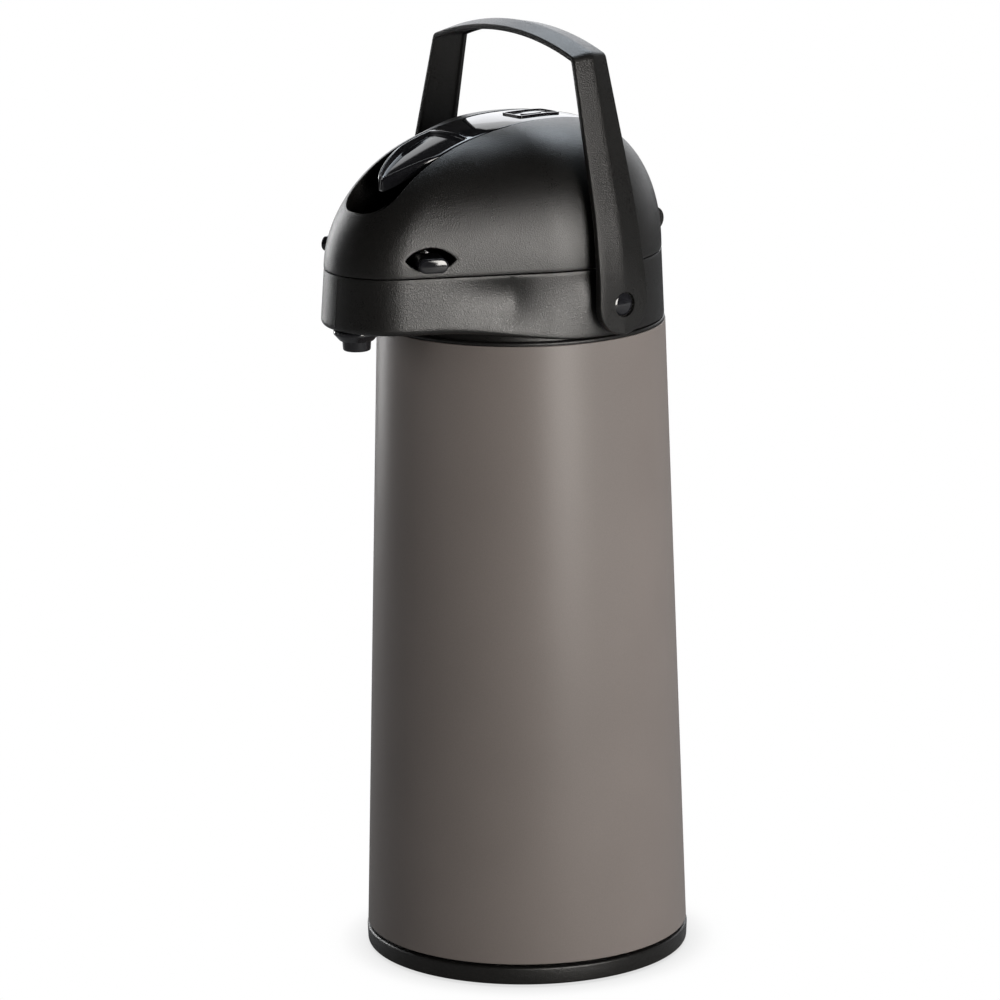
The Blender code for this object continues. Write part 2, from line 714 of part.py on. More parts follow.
def make_pump(materials):
    wall = 0.9
    folds = 4
    crest = 27.0
    root = 23.6
    flange = 1.3
    low = BELLOWS_BOTTOM + flange
    pitch = (BELLOWS_TOP - flange - low) / folds
    outside = [(crest, BELLOWS_BOTTOM), (crest, low)]
    inside = [(root - wall, BELLOWS_BOTTOM), (root - wall, low)]
    for i in range(folds):
        fold_low = low + pitch * i
        outside += [(root, fold_low + 0.3 * pitch), (crest, fold_low + 0.8 * pitch)]
        inside += [(root - wall, fold_low + 0.3 * pitch), (crest - wall - 0.8, fold_low + 0.8 * pitch)]
    outside += [(crest, BELLOWS_TOP)]
    inside += [(root - wall, BELLOWS_TOP)]
    turned("bellows", outside + inside[::-1], materials["silicone"])
    start = (0, 0, BELLOWS_BOTTOM + 0.5)
    length = BELLOWS_TOP - BELLOWS_BOTTOM - 1.0
    coil("bellows_spring", start, (0, 0, 1), length, 19.5, 0.9, 4.5, materials["steel"], 16)
    disc_low = BELLOWS_TOP + 0.4
    disc_high = disc_low + 2.2
    stem_top = RIB_BOTTOM - GAP
    profile = [
        (0, disc_low),
        (28.0, disc_low),
        (28.0, disc_high),
        (PLUNGER_STEM_RADIUS, disc_high),
        (PLUNGER_STEM_RADIUS, stem_top - 1.0),
        (PLUNGER_STEM_RADIUS - 1.0, stem_top),
        (0, stem_top),
    ]
    return turned("plunger", profile, materials["inner_plastic"])


# ---------------------------------------------------------------- lever


def lever_surface(x, y):
    """The lever's top lies just under the dome it completes."""
    return lid_height(x, y) - 0.2


def lever_half_width(y):
    tip_length = 21.0
    share = min((y - LEVER_TIP_Y + 0.6) / tip_length, 1.0)
    return LEVER_HALF_WIDTH * share**0.62


def lever_bottom(y):
    if abs(y) <= RIB_HALF_LENGTH:
        return RIB_BOTTOM
    if y >= HUB_START_Y:
        return LEVER_PIVOT_Z - HUB_DROP
    return lever_surface(0.0, y) - LEVER_THICKNESS


def make_lever(materials):
    tip = [LEVER_TIP_Y, -71.5, -67.0, -60.0, -52.0, -45.0, -32.0, -18.0]
    rib = [-RIB_HALF_LENGTH - 0.5, -RIB_HALF_LENGTH, RIB_HALF_LENGTH, RIB_HALF_LENGTH + 0.5]
    rear = [14.0, 26.0, HUB_START_Y - 0.5, HUB_START_Y, 41.0, LEVER_REAR_Y]
    across = [1.0, 0.5, 0.0, -0.5, -1.0]
    sections = []
    for y in tip + rib + rear:
        half = lever_half_width(y)
        top = [(half * share, y, lever_surface(half * share, y)) for share in across]
        low = lever_bottom(y)
        rib_half = 0.5 * half
        edge = low if y >= HUB_START_Y else top[0][2] - LEVER_THICKNESS
        bottom = [(-half, y, edge), (-rib_half, y, low), (rib_half, y, low), (half, y, edge)]
        sections.append(top + bottom)
    lever = loft("press_lever", sections, materials["gloss_plastic"])
    pivot = Vector((0, LEVER_PIVOT_Y, LEVER_PIVOT_Z))
    side = Vector((20.0, 0, 0))
    cut(lever, cylinder("lever_bore", 2.3, pivot - side, pivot + side))
    return lever


def make_lever_pin(materials):
    pivot = Vector((0, LEVER_PIVOT_Y, LEVER_PIVOT_Z))
    reach = Vector((16.8, 0, 0))
    cylinder("lever_pin", 2.0, pivot - reach, pivot + reach, materials["steel"], 16, helper=False)


def make_label_plate(materials):
    """A small plate that follows the lever's top."""
    half = 6.6
    lift = 0.3
    sections = []
    for y in (-4.5, 1.0, 6.5, 12.0, 17.5):
        low = [(half * s, y, lever_surface(half * s, y) + lift) for s in (1.0, 0.0, -1.0)]
        high = [(x, y, z + 0.6) for x, y, z in reversed(low)]
        sections.append(low + high)
    return loft("lever_label_plate", sections, materials["textured_plastic"])


# ---------------------------------------------------------------- pinch buttons


def flank_normal(side):
    tilt = math.asin((HEAD_RADIUS - NOSE_RADIUS) / (NOSE_REACH - NOSE_RADIUS))
    return Vector((side * math.cos(tilt), -math.sin(tilt), 0.0))


def flank_frame(side):
    """Returns to_world(along, up, depth) for a button's place on the flank."""
    normal = flank_normal(side)
    along = Vector((0, 0, 1)).cross(normal)
    spot = Vector((side * BUTTON_SPOT.x, BUTTON_SPOT.y, BUTTON_SPOT.z))

    def to_world(a, b, depth):
        return tuple(spot + along * a + Vector((0, 0, b)) + normal * depth)

    return to_world


def eye_cutter(name, side):
    """An eye-shaped opening between two arcs."""
    half_length = 10.6
    half_height = 4.8
    radius = (half_length**2 + half_height**2) / (2 * half_height)
    sweep = math.degrees(math.asin(half_length / radius))
    upper = arc((0, half_height - radius), radius, 90 - sweep, 90 + sweep, 8)
    lower = arc((0, radius - half_height), radius, 270 - sweep, 270 + sweep, 8)
    outline = upper + lower[1:-1]
    return extruded(name, outline, -5.0, 9.0, flank_frame(side), None, True)


def catch_ledge(name, side):
    """The ledge inside the collar that the button's hook faces."""
    outline = [(-4.5, -10.8), (4.5, -10.8), (4.5, -9.0), (-4.5, -9.0)]
    return extruded(name, outline, -3.7, -1.0, flank_frame(side), None, True)


def stadium(length, height, count=6):
    half = height / 2
    reach = length / 2 - half
    return arc((reach, 0), half, -90, 90, count) + arc((-reach, 0), half, 90, 270, count)


def make_button(side, materials):
    name = "left" if side < 0 else "right"
    to_world = flank_frame(side)
    shrink = [(-8.0, 1.0), (BUTTON_OUT - 1.0, 1.0), (BUTTON_OUT - 0.3, 0.93), (BUTTON_OUT, 0.8)]
    outline = stadium(BUTTON_LENGTH, BUTTON_HEIGHT)
    sections = []
    for depth, share in shrink:
        sections.append([to_world(a * share, b * share, depth) for a, b in outline])
    button = loft("release_button_" + name, sections, materials["gloss_plastic"])
    hook = [(-8.0, -1.0), (-8.0, -13.4), (-4.0, -13.4), (-4.0, -11.8), (-5.6, -11.3), (-5.6, -1.0)]

    def hook_to_world(depth, up, along):
        return to_world(along, up, depth)

    join(button, extruded("hook_" + name, hook, -3.5, 3.5, hook_to_world, None, True))
    return button


def make_button_spring(side, materials):
    name = "left" if side < 0 else "right"
    start = flank_frame(side)(0, 0, -8.0 - GAP)
    coil("button_spring_" + name, start, -flank_normal(side), 6.4, 2.3, 0.35, 3.5, materials["steel"], 8)


# ---------------------------------------------------------------- handle


def handle_path():
    """(x, z, lean) along the outer face from the pivot to the top centre; lean turns from 0 to 90 degrees."""
    points = []
    for i in range(6):
        lean = LEG_LEAN * i / 5
        x = HANDLE_OUTER_X - LEG_BEND_RADIUS * (1 - math.cos(lean))
        points.append((x, HANDLE_PIVOT_Z + LEG_BEND_RADIUS * math.sin(lean), lean))
    bar_centre = Vector((0, HANDLE_TOP_Z - HANDLE_BAR_RADIUS))
    leg_end = Vector(points[-1][:2])
    upwards = Vector((-math.sin(LEG_LEAN), math.cos(LEG_LEAN)))
    outward = Vector((math.cos(LEG_LEAN), math.sin(LEG_LEAN)))
    start = leg_end - outward * HANDLE_CORNER_RADIUS - bar_centre
    reach = HANDLE_BAR_RADIUS - HANDLE_CORNER_RADIUS
    along = start.dot(upwards)
    straight = math.sqrt(along**2 - start.length_squared + reach**2) - along
    corner = leg_end + upwards * straight - outward * HANDLE_CORNER_RADIUS
    bar_start = math.atan2(corner.y - bar_centre.y, corner.x)
    for i in range(4):
        lean = LEG_LEAN + (bar_start - LEG_LEAN) * i / 3
        facing = Vector((math.cos(lean), math.sin(lean)))
        points.append((*(corner + facing * HANDLE_CORNER_RADIUS), lean))
    for i in range(1, 5):
        lean = bar_start + (math.pi / 2 - bar_start) * i / 4
        facing = Vector((math.cos(lean), math.sin(lean)))
        points.append((*(bar_centre + facing * HANDLE_BAR_RADIUS), lean))
    return points


def handle_section(x, z, lean, half):
    """A closed loop across the strap: a ridge on its outer face and a shallow channel inside."""
    ridge = 0.8
    rim = 1.6
    inner_face = -HANDLE_THICKNESS
    channel_floor = inner_face + 1.2
    outward = Vector((math.cos(lean), 0, math.sin(lean)))
    base = Vector((x, 0, z))
    shape = [
        (-half, -ridge),
        (0.0, 0.0),
        (half, -ridge),
        (half, inner_face),
        (half - rim, inner_face),
        (half - rim - 0.4, channel_floor),
        (rim + 0.4 - half, channel_floor),
        (rim - half, inner_face),
        (-half, inner_face),
    ]
    return [tuple(base + outward * depth + Vector((0, y, 0))) for y, depth in shape]


def make_handle(materials):
    sections = []
    for angle in (-80, -62, -42, -22):
        drop = HANDLE_END_RADIUS * math.sin(math.radians(angle))
        half = max(HANDLE_END_RADIUS * math.cos(math.radians(angle)), 2.6)
        sections.append(handle_section(HANDLE_OUTER_X, HANDLE_PIVOT_Z + drop, 0.0, half))
    for x, z, lean in handle_path():
        rise = min((z - HANDLE_PIVOT_Z) / 100.0, 1.0)
        half = HANDLE_END_RADIUS + (HANDLE_TOP_HALF_WIDTH - HANDLE_END_RADIUS) * rise
        sections.append(handle_section(x, z, lean, half))
    mirrored = [[(-x, y, z) for x, y, z in section] for section in sections[:-1]]
    handle = loft("carry_handle", sections + mirrored[::-1], materials["textured_plastic"])
    for side in (-1, 1):
        name = "left" if side < 0 else "right"
        inner = Vector((side * 60.0, 0, HANDLE_PIVOT_Z))
        face = Vector((side * (HANDLE_OUTER_X - 1.9), 0, HANDLE_PIVOT_Z))
        outer = Vector((side * 75.0, 0, HANDLE_PIVOT_Z))
        join(handle, cylinder("leg_pad_" + name, 7.0, face - Vector((side * 1.7, 0, 0)), face))
        cut(handle, cylinder("leg_hole_" + name, PIN_RADIUS + 0.4, inner, outer))
        cut(handle, cylinder("leg_recess_" + name, PIN_HEAD_RADIUS + 0.5, face, outer))
    return handle


def make_handle_pin(side, materials):
    """A domed pin along X, spun from its profile."""
    head_back = HANDLE_OUTER_X - 1.9 + GAP
    dome = [
        (PIN_HEAD_RADIUS * math.cos(math.radians(a)), head_back + 0.4 + 1.8 * math.sin(math.radians(a)))
        for a in (0, 25, 50, 70)
    ]
    inner_end = COLLAR_BORE + 0.1
    profile = [(0, inner_end), (PIN_RADIUS, inner_end), (PIN_RADIUS, head_back), (PIN_HEAD_RADIUS, head_back)]
    profile += dome + [(0, head_back + 2.2)]
    name = "left" if side < 0 else "right"
    pin = turned("handle_pin_" + name, profile, materials["gloss_plastic"], 24)
    turn = Matrix.Rotation(side * math.pi / 2, 4, "Y")
    pin.data.transform(Matrix.Translation((0, 0, HANDLE_PIVOT_Z * MM)) @ turn)


# ---------------------------------------------------------------- assembly


def build():
    clear_scene()
    materials = make_materials()
    make_base(materials)
    make_bottom_cap(materials)
    make_shell(materials)
    make_flask(materials)
    make_mouth(materials)
    make_stopper(materials)
    make_spout(materials)
    make_collar(materials)
    make_hinge_pin(materials)
    lid = make_lid_shell(materials)
    make_lid_plate(materials)
    plunger = make_pump(materials)
    lever = make_lever(materials)
    label_plate = make_label_plate(materials)
    make_lever_pin(materials)
    joint_axis("lid_hinge_axis", (0, HINGE_Y, HINGE_Z), [lid])
    joint_axis("lever_axis", (0, LEVER_PIVOT_Y, LEVER_PIVOT_Z), [lever, label_plate])
    joint_axis("plunger_axis", (0, 0, BELLOWS_TOP), [plunger])
    for side in (-1, 1):
        button = make_button(side, materials)
        joint_axis(button.name + "_axis", flank_frame(side)(0, 0, 0), [button])
        make_button_spring(side, materials)
        make_handle_pin(side, materials)
    joint_axis("handle_axis", (0, 0, HANDLE_PIVOT_Z), [make_handle(materials)])


build()
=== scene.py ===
"""Looks for the thermal coffee airpot: its visible pieces in full detail, their finishes, and a studio.

Lengths are in millimetres until place() turns a finished mesh into metres.
"""

import json
import math

import bmesh
import bpy
from mathutils import Matrix, Vector


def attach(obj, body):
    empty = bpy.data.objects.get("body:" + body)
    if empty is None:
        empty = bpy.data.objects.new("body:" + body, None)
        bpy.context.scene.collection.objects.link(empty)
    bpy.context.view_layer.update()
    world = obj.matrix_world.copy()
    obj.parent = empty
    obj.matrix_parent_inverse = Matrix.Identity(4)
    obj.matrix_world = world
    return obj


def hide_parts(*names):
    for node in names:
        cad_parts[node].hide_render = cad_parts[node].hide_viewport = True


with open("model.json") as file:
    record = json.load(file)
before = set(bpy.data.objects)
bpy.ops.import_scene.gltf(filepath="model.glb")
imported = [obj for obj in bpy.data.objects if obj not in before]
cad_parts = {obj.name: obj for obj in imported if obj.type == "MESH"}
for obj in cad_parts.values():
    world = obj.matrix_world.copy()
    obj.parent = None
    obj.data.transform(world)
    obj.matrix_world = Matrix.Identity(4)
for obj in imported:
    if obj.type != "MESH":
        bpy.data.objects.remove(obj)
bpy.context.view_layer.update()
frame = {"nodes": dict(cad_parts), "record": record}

MM = 0.001
STEPS = 160

# Body
FOOT_RADIUS = 70.5
FOOT_PAD_RADIUS = 65.3
BASE_UNDERSIDE = 0.4
BASE_FLOOR = 2.1
BASE_FLOOR_TOP = 5.0
BASE_BORE = 66.6
BASE_TOP = 8.3
HUB_RADIUS = 8.5
HUB_TOP = 12.3
SHELL_WALL = 0.8
SHELL_BOTTOM = 9.6
SHELL_TOP = 277.8
SHELL_RADIUS_BOTTOM = 70.0
SHELL_RADIUS_TOP = 61.9
SHOULDER_RADIUS = 60.5
SHOULDER_BORE = 58.4
SHOULDER_BOTTOM = 262.0
NECK_BORE = 56.0
NECK_TOP = 297.0

# Head
SEAM_Z = 308.7
HEAD_RADIUS = 60.4
NOSE_RADIUS = 29.9
NOSE_REACH = 97.3
LID_TOP = 366.0
LID_WALL = 2.2
HEAD_STATIONS = 200
NOSE_CROWDING = 0.35
SEAM_HALF_GAP = 0.2
COLLAR_FLARE = 1.0
NOSE_FLARE = 1.6
COLLAR_WALL = 2.4
COLLAR_BORE = 58.9
COLLAR_BOTTOM = 279.7
NOSE_BOTTOM = 284.8
SLOPE_START_Y = -12.0
SLOPE_END_Y = -72.0
PIVOT_Z = 294.0
PIVOT_HOLE_RADIUS = 3.3
SPOUT_Y = -88.0
NOZZLE_RADIUS = 6.5
NOZZLE_TIP_Z = 275.8
NOZZLE_FLANGE_RADIUS = 9.7
NOZZLE_TOP_Z = 293.6
DIP_TUBE_Y = -12.0
AIR_PORT_Y = 10.0
PORT_RADIUS = 3.2
STOPPER_RADIUS = 38.3
STOPPER_BOTTOM = 296.6
STOPPER_TOP = 299.6
HINGE_Y = 66.6
HINGE_Z = 314.2
HINGE_HOLE_RADIUS = 2.1
KNUCKLE_RADIUS = 5.2
KNUCKLE_HALF_WIDTH = 4.6

# Lever and well
LEVER_PIVOT_Y = 40.0
LEVER_PIVOT_Z = 345.0
LEVER_TRAVEL = math.radians(12.0)
LEVER_TIP_Y = -74.1
LEVER_REAR_Y = 45.5
LEVER_HALF_WIDTH = 14.5
LEVER_THICKNESS = 3.5
LEVER_TIP_EXTRA = 2.0
LEVER_HOLE_RADIUS = 2.3
DISH_DEPTH = 2.9
PUSH_PAD_HALF = 3.0
PUSH_PAD_Z = 355.0
LEVER_HUB_START_Y = 36.0
LEVER_HUB_DROP = 4.5
DISH_REAR_Y = -38.0
WELL_HALF_WIDTH = 15.0
WELL_FRONT_Y = -87.8
WELL_REAR_Y = 46.6
WELL_FLOOR = 342.3
SCOOP_SQUARENESS = 2.35
SCREW_SPOTS = [(-30.0, -48.0), (30.0, -48.0), (-38.0, 28.0), (38.0, 28.0)]

# Pinch buttons
BUTTON_SPOT = Vector((31.3, -72.2, 315.0))
BUTTON_OUT = 6.5
BUTTON_LENGTH = 12.4
BUTTON_HEIGHT = 6.2
EYE_HALF_LENGTH = 10.6
EYE_HALF_HEIGHT = 4.8
EYE_RISE = 1.3

# Handle
HANDLE_OUTER_X = 70.1
HANDLE_TOP_Z = 406.5
HANDLE_BAR_RADIUS = 140.0
HANDLE_CORNER_RADIUS = 5.0
HANDLE_END_RADIUS = 12.8
HANDLE_TOP_HALF_WIDTH = 8.75
LEG_BEND_RADIUS = 186.0
LEG_LEAN = math.radians(14.6)
RIDGE_HEIGHT = 1.6
FOOT_RIDGE = 0.5
STRAP_THICKNESS = 4.0
PIN_HEAD_RADIUS = 4.8

# View and light
VIEW_AZIMUTH = 51.5
VIEW_ELEVATION = 13.44


# ---------------------------------------------------------------- shader graphs


class Graph:
    """Builds a Principled material from named nodes."""

    def __init__(self, name):
        self.material = bpy.data.materials.new(name)
        self.material.use_nodes = True
        self.tree = self.material.node_tree
        self.shader = self.tree.nodes["Principled BSDF"]
        self.coords = self.add("ShaderNodeTexCoord").outputs["Object"]

    def add(self, kind, **settings):
        node = self.tree.nodes.new(kind)
        for key, value in settings.items():
            setattr(node, key, value)
        return node

    def link(self, source, target):
        self.tree.links.new(source, target)

    def noise(self, scale, detail=3.0, rough=0.5, coords=None):
        node = self.add("ShaderNodeTexNoise")
        node.inputs["Scale"].default_value = scale
        node.inputs["Detail"].default_value = detail
        node.inputs["Roughness"].default_value = rough
        self.link(coords or self.coords, node.inputs["Vector"])
        return node.outputs["Fac"]

    def cells(self, scale):
        node = self.add("ShaderNodeTexVoronoi")
        node.inputs["Scale"].default_value = scale
        self.link(self.coords, node.inputs["Vector"])
        return node.outputs["Distance"]

    def ramp(self, source, stops):
        node = self.add("ShaderNodeValToRGB")
        elements = node.color_ramp.elements
        while len(elements) < len(stops):
            elements.new(0.5)
        for element, (place, colour) in zip(elements, stops):
            element.position = place
            element.color = (*colour, 1.0) if isinstance(colour, tuple) else (colour, colour, colour, 1.0)
        self.link(source, node.inputs["Fac"])
        return node.outputs["Color"]

    def spread(self, source, low, high, new_low, new_high):
        node = self.add("ShaderNodeMapRange")
        for index, value in enumerate((low, high, new_low, new_high), start=1):
            node.inputs[index].default_value = value
        self.link(source, node.inputs[0])
        return node.outputs[0]

    def combine(self, operation, first, second):
        node = self.add("ShaderNodeMath", operation=operation)
        for socket, value in zip(node.inputs, (first, second)):
            if isinstance(value, (int, float)):
                socket.default_value = value
            else:
                self.link(value, socket)
        return node.outputs[0]

    def bump(self, height, strength, distance, normal=None):
        node = self.add("ShaderNodeBump")
        node.inputs["Strength"].default_value = strength
        node.inputs["Distance"].default_value = distance
        self.link(height, node.inputs["Height"])
        if normal is not None:
            self.link(normal, node.inputs["Normal"])
        return node.outputs["Normal"]

    def set(self, **values):
        for key, value in values.items():
            socket = self.shader.inputs[key.replace("_", " ").title().replace("Ior", "IOR")]
            if isinstance(value, (int, float)):
                socket.default_value = value
            elif isinstance(value, tuple):
                socket.default_value = (*value, 1.0)
            else:
                self.link(value, socket)
        return self.material


def grained_plastic():
    """Black moulded plastic with a fine spark-eroded grain."""
    g = Graph("grained_plastic")
    grain = g.noise(2200, 3.0, 0.65)
    pits = g.cells(1900)
    height = g.combine("ADD", grain, g.combine("MULTIPLY", pits, 0.6))
    tone = g.ramp(grain, [(0.30, (0.0022, 0.0022, 0.0021)), (0.70, (0.0085, 0.0080, 0.0075))])
    patches = g.noise(60, 3.0)
    roughness = g.combine(
        "ADD", g.spread(grain, 0.3, 0.7, 0.26, 0.37), g.spread(patches, 0.3, 0.7, -0.02, 0.03)
    )
    normal = g.bump(height, 0.7, 0.00014)
    return g.set(base_color=tone, roughness=roughness, normal=normal, specular_ior_level=0.5)


def polished_plastic():
    """Black high-gloss plastic with faint moulding waviness and hairline scuffs."""
    g = Graph("polished_plastic")
    waves = g.noise(35, 2.0)
    scuffs = g.noise(900, 4.0, 0.7)
    tone = g.ramp(scuffs, [(0.35, (0.0045, 0.0045, 0.0055)), (0.75, (0.011, 0.011, 0.013))])
    roughness = g.spread(scuffs, 0.35, 0.75, 0.045, 0.12)
    normal = g.bump(waves, 0.05, 0.0010)
    return g.set(base_color=tone, roughness=roughness, normal=normal, coat_weight=0.3, coat_roughness=0.03)


def satin_paint():
    """Taupe-grey satin lacquer with a trace of pearl and a very fine orange peel."""
    g = Graph("satin_paint")
    peel = g.noise(420, 2.0)
    flakes = g.noise(2600, 1.0)
    drift = g.noise(14, 2.0)
    tone = g.ramp(
        g.combine("ADD", g.combine("MULTIPLY", flakes, 0.5), g.combine("MULTIPLY", drift, 0.5)),
        [(0.35, (0.112, 0.098, 0.091)), (0.65, (0.130, 0.114, 0.106))],
    )
    roughness = g.spread(flakes, 0.3, 0.7, 0.36, 0.44)
    normal = g.bump(peel, 0.05, 0.0003)
    return g.set(base_color=tone, roughness=roughness, normal=normal, specular_ior_level=0.25)


def plain_plastic(name, dark, light, roughness):
    g = Graph(name)
    grain = g.noise(700, 3.0)
    tone = g.ramp(grain, [(0.3, dark), (0.7, light)])
    normal = g.bump(grain, 0.25, 0.0001)
    rough = g.spread(grain, 0.3, 0.7, roughness - 0.05, roughness + 0.06)
    return g.set(base_color=tone, roughness=rough, normal=normal)


def silvered_glass():
    g = Graph("silvered_glass")
    streaks = g.noise(45, 5.0, 0.6)
    tone = g.ramp(streaks, [(0.3, (0.62, 0.63, 0.64)), (0.7, (0.86, 0.86, 0.86))])
    roughness = g.spread(streaks, 0.3, 0.7, 0.04, 0.14)
    normal = g.bump(streaks, 0.04, 0.001)
    return g.set(base_color=tone, roughness=roughness, normal=normal, metallic=0.95, coat_weight=0.6)


def soft_rubber(name, dark, light, sheen):
    g = Graph(name)
    speck = g.noise(1500, 2.0)
    tone = g.ramp(speck, [(0.3, dark), (0.7, light)])
    normal = g.bump(speck, 0.3, 0.0001)
    rough = g.spread(speck, 0.3, 0.7, 0.68, 0.82)
    return g.set(base_color=tone, roughness=rough, normal=normal, sheen_weight=sheen)


def drawn_steel():
    """Steel with fine lines along its length."""
    g = Graph("drawn_steel")
    mapping = g.add("ShaderNodeMapping")
    mapping.inputs["Scale"].default_value = (1.0, 1.0, 0.06)
    g.link(g.coords, mapping.inputs["Vector"])
    lines = g.noise(3000, 3.0, coords=mapping.outputs["Vector"])
    tone = g.ramp(lines, [(0.3, (0.46, 0.46, 0.47)), (0.7, (0.64, 0.64, 0.65))])
    rough = g.spread(lines, 0.3, 0.7, 0.22, 0.36)
    normal = g.bump(lines, 0.1, 0.00005)
    return g.set(base_color=tone, roughness=rough, normal=normal, metallic=1.0)


FINISH = {
    "textured_plastic": grained_plastic(),
    "gloss_plastic": polished_plastic(),
    "painted_shell": satin_paint(),
    "inner_plastic": plain_plastic("inner_plastic", (0.030, 0.030, 0.031), (0.050, 0.050, 0.051), 0.42),
    "white_plastic": plain_plastic("white_plastic", (0.62, 0.62, 0.60), (0.74, 0.74, 0.72), 0.38),
    "silver_glass": silvered_glass(),
    "rubber": soft_rubber("black_rubber", (0.014, 0.014, 0.014), (0.030, 0.030, 0.030), 0.2),
    "silicone": soft_rubber("grey_silicone", (0.42, 0.41, 0.40), (0.52, 0.51, 0.49), 0.1),
    "steel": drawn_steel(),
}


def dress_cad_nodes():
    """Gives every carried-over CAD node its finish."""
    for part in frame["record"]["subparts"]:
        node = frame["nodes"][part["node"]]
        node.data.materials.clear()
        node.data.materials.append(FINISH[part["material_slot"]])


# ---------------------------------------------------------------- mesh builders


def raw_object(name, bm):
    bmesh.ops.recalc_face_normals(bm, faces=bm.faces)
    mesh = bpy.data.meshes.new(name)
    bm.to_mesh(mesh)
    bm.free()
    obj = bpy.data.objects.new(name, mesh)
    bpy.context.scene.collection.objects.link(obj)
    return obj


def place(obj, body, slot, *nodes, sharp=35):
    """Turns a finished millimetre mesh into a piece of the object."""
    obj.data.transform(Matrix.Scale(MM, 4))
    obj.data.shade_smooth()
    obj.data.set_sharp_from_angle(angle=math.radians(sharp))
    obj.data.materials.clear()
    obj.data.materials.append(FINISH[slot])
    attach(obj, body)
    if nodes:
        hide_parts(*nodes)
    return obj


def bake(obj, helpers=()):
    """Replaces an object's mesh by what its modifiers make of it, then deletes the helpers."""
    bpy.context.view_layer.update()
    graph = bpy.context.evaluated_depsgraph_get()
    mesh = bpy.data.meshes.new_from_object(obj.evaluated_get(graph), depsgraph=graph)
    obj.modifiers.clear()
    obj.data = mesh
    for helper in helpers:
        bpy.data.objects.remove(helper, do_unlink=True)
    return obj


def boolean(obj, operation, *others):
    for other in others:
        modifier = obj.modifiers.new(other.name, "BOOLEAN")
        modifier.operation = operation
        modifier.object = other
        modifier.solver = "EXACT"
    return bake(obj, others)


def turned(name, profile, steps=STEPS, centre=(0.0, 0.0)):
    bm = bmesh.new()
    verts = [bm.verts.new((centre[0] + radius, centre[1], z)) for radius, z in profile]
    for first, second in zip(verts, verts[1:]):
        bm.edges.new((first, second))
    if profile[0][0] > 0:
        bm.edges.new((verts[-1], verts[0]))
    bmesh.ops.spin(
        bm,
        geom=bm.verts[:] + bm.edges[:],
        cent=(centre[0], centre[1], 0),
        axis=(0, 0, 1),
        angle=math.tau,
        steps=steps,
        use_merge=True,
    )
    bmesh.ops.remove_doubles(bm, verts=bm.verts, dist=1e-4)
    return raw_object(name, bm)


def rounded(profile, radii, steps=4):
    """Rounds the corners of a closed outline; radii holds one radius per corner."""
    points = []
    count = len(profile)
    for i, radius in enumerate(radii):
        corner = Vector(profile[i])
        if radius <= 0:
            points.append(tuple(corner))
            continue
        to_last = (Vector(profile[i - 1]) - corner).normalized()
        to_next = (Vector(profile[(i + 1) % count]) - corner).normalized()
        half = math.acos(max(-1.0, min(1.0, to_last.dot(to_next)))) / 2
        reach = radius / math.tan(half)
        middle = corner + (to_last + to_next).normalized() * (radius / math.sin(half))
        start = corner + to_last * reach - middle
        turn = start.angle_signed(corner + to_next * reach - middle)
        for k in range(steps + 1):
            angle = -turn * k / steps
            spun = Vector(
                (
                    start.x * math.cos(angle) - start.y * math.sin(angle),
                    start.x * math.sin(angle) + start.y * math.cos(angle),
                )
            )
            points.append(tuple(middle + spun))
    return points


def loft(name, sections, closed=False):
    bm = bmesh.new()
    loops = [[bm.verts.new(point) for point in section] for section in sections]
    pairs = list(zip(loops, loops[1:]))
    if closed:
        pairs.append((loops[-1], loops[0]))
    else:
        bm.faces.new(loops[0])
        bm.faces.new(loops[-1])
    count = len(loops[0])
    for first, second in pairs:
        for i in range(count):
            j = (i + 1) % count
            bm.faces.new((first[i], first[j], second[j], second[i]))
    return raw_object(name, bm)


def cylinder(name, radius, start, end, steps=64):
    start = Vector(start)
    end = Vector(end)
    bm = bmesh.new()
    bmesh.ops.create_cone(
        bm,
        cap_ends=True,
        segments=steps,
        radius1=radius,
        radius2=radius,
        depth=(end - start).length,
        matrix=Matrix.Translation((start + end) / 2)
        @ (end - start).to_track_quat("Z", "Y").to_matrix().to_4x4(),
    )
    return raw_object(name, bm)


def arc(centre, radius, start, end, count):
    angles = [math.radians(start + (end - start) * i / count) for i in range(count + 1)]
    return [(centre[0] + radius * math.cos(a), centre[1] + radius * math.sin(a)) for a in angles]


def smooth(low, high, value):
    share = min(max((value - low) / (high - low), 0.0), 1.0)
    return share * share * (3 - 2 * share)


# ---------------------------------------------------------------- body pieces


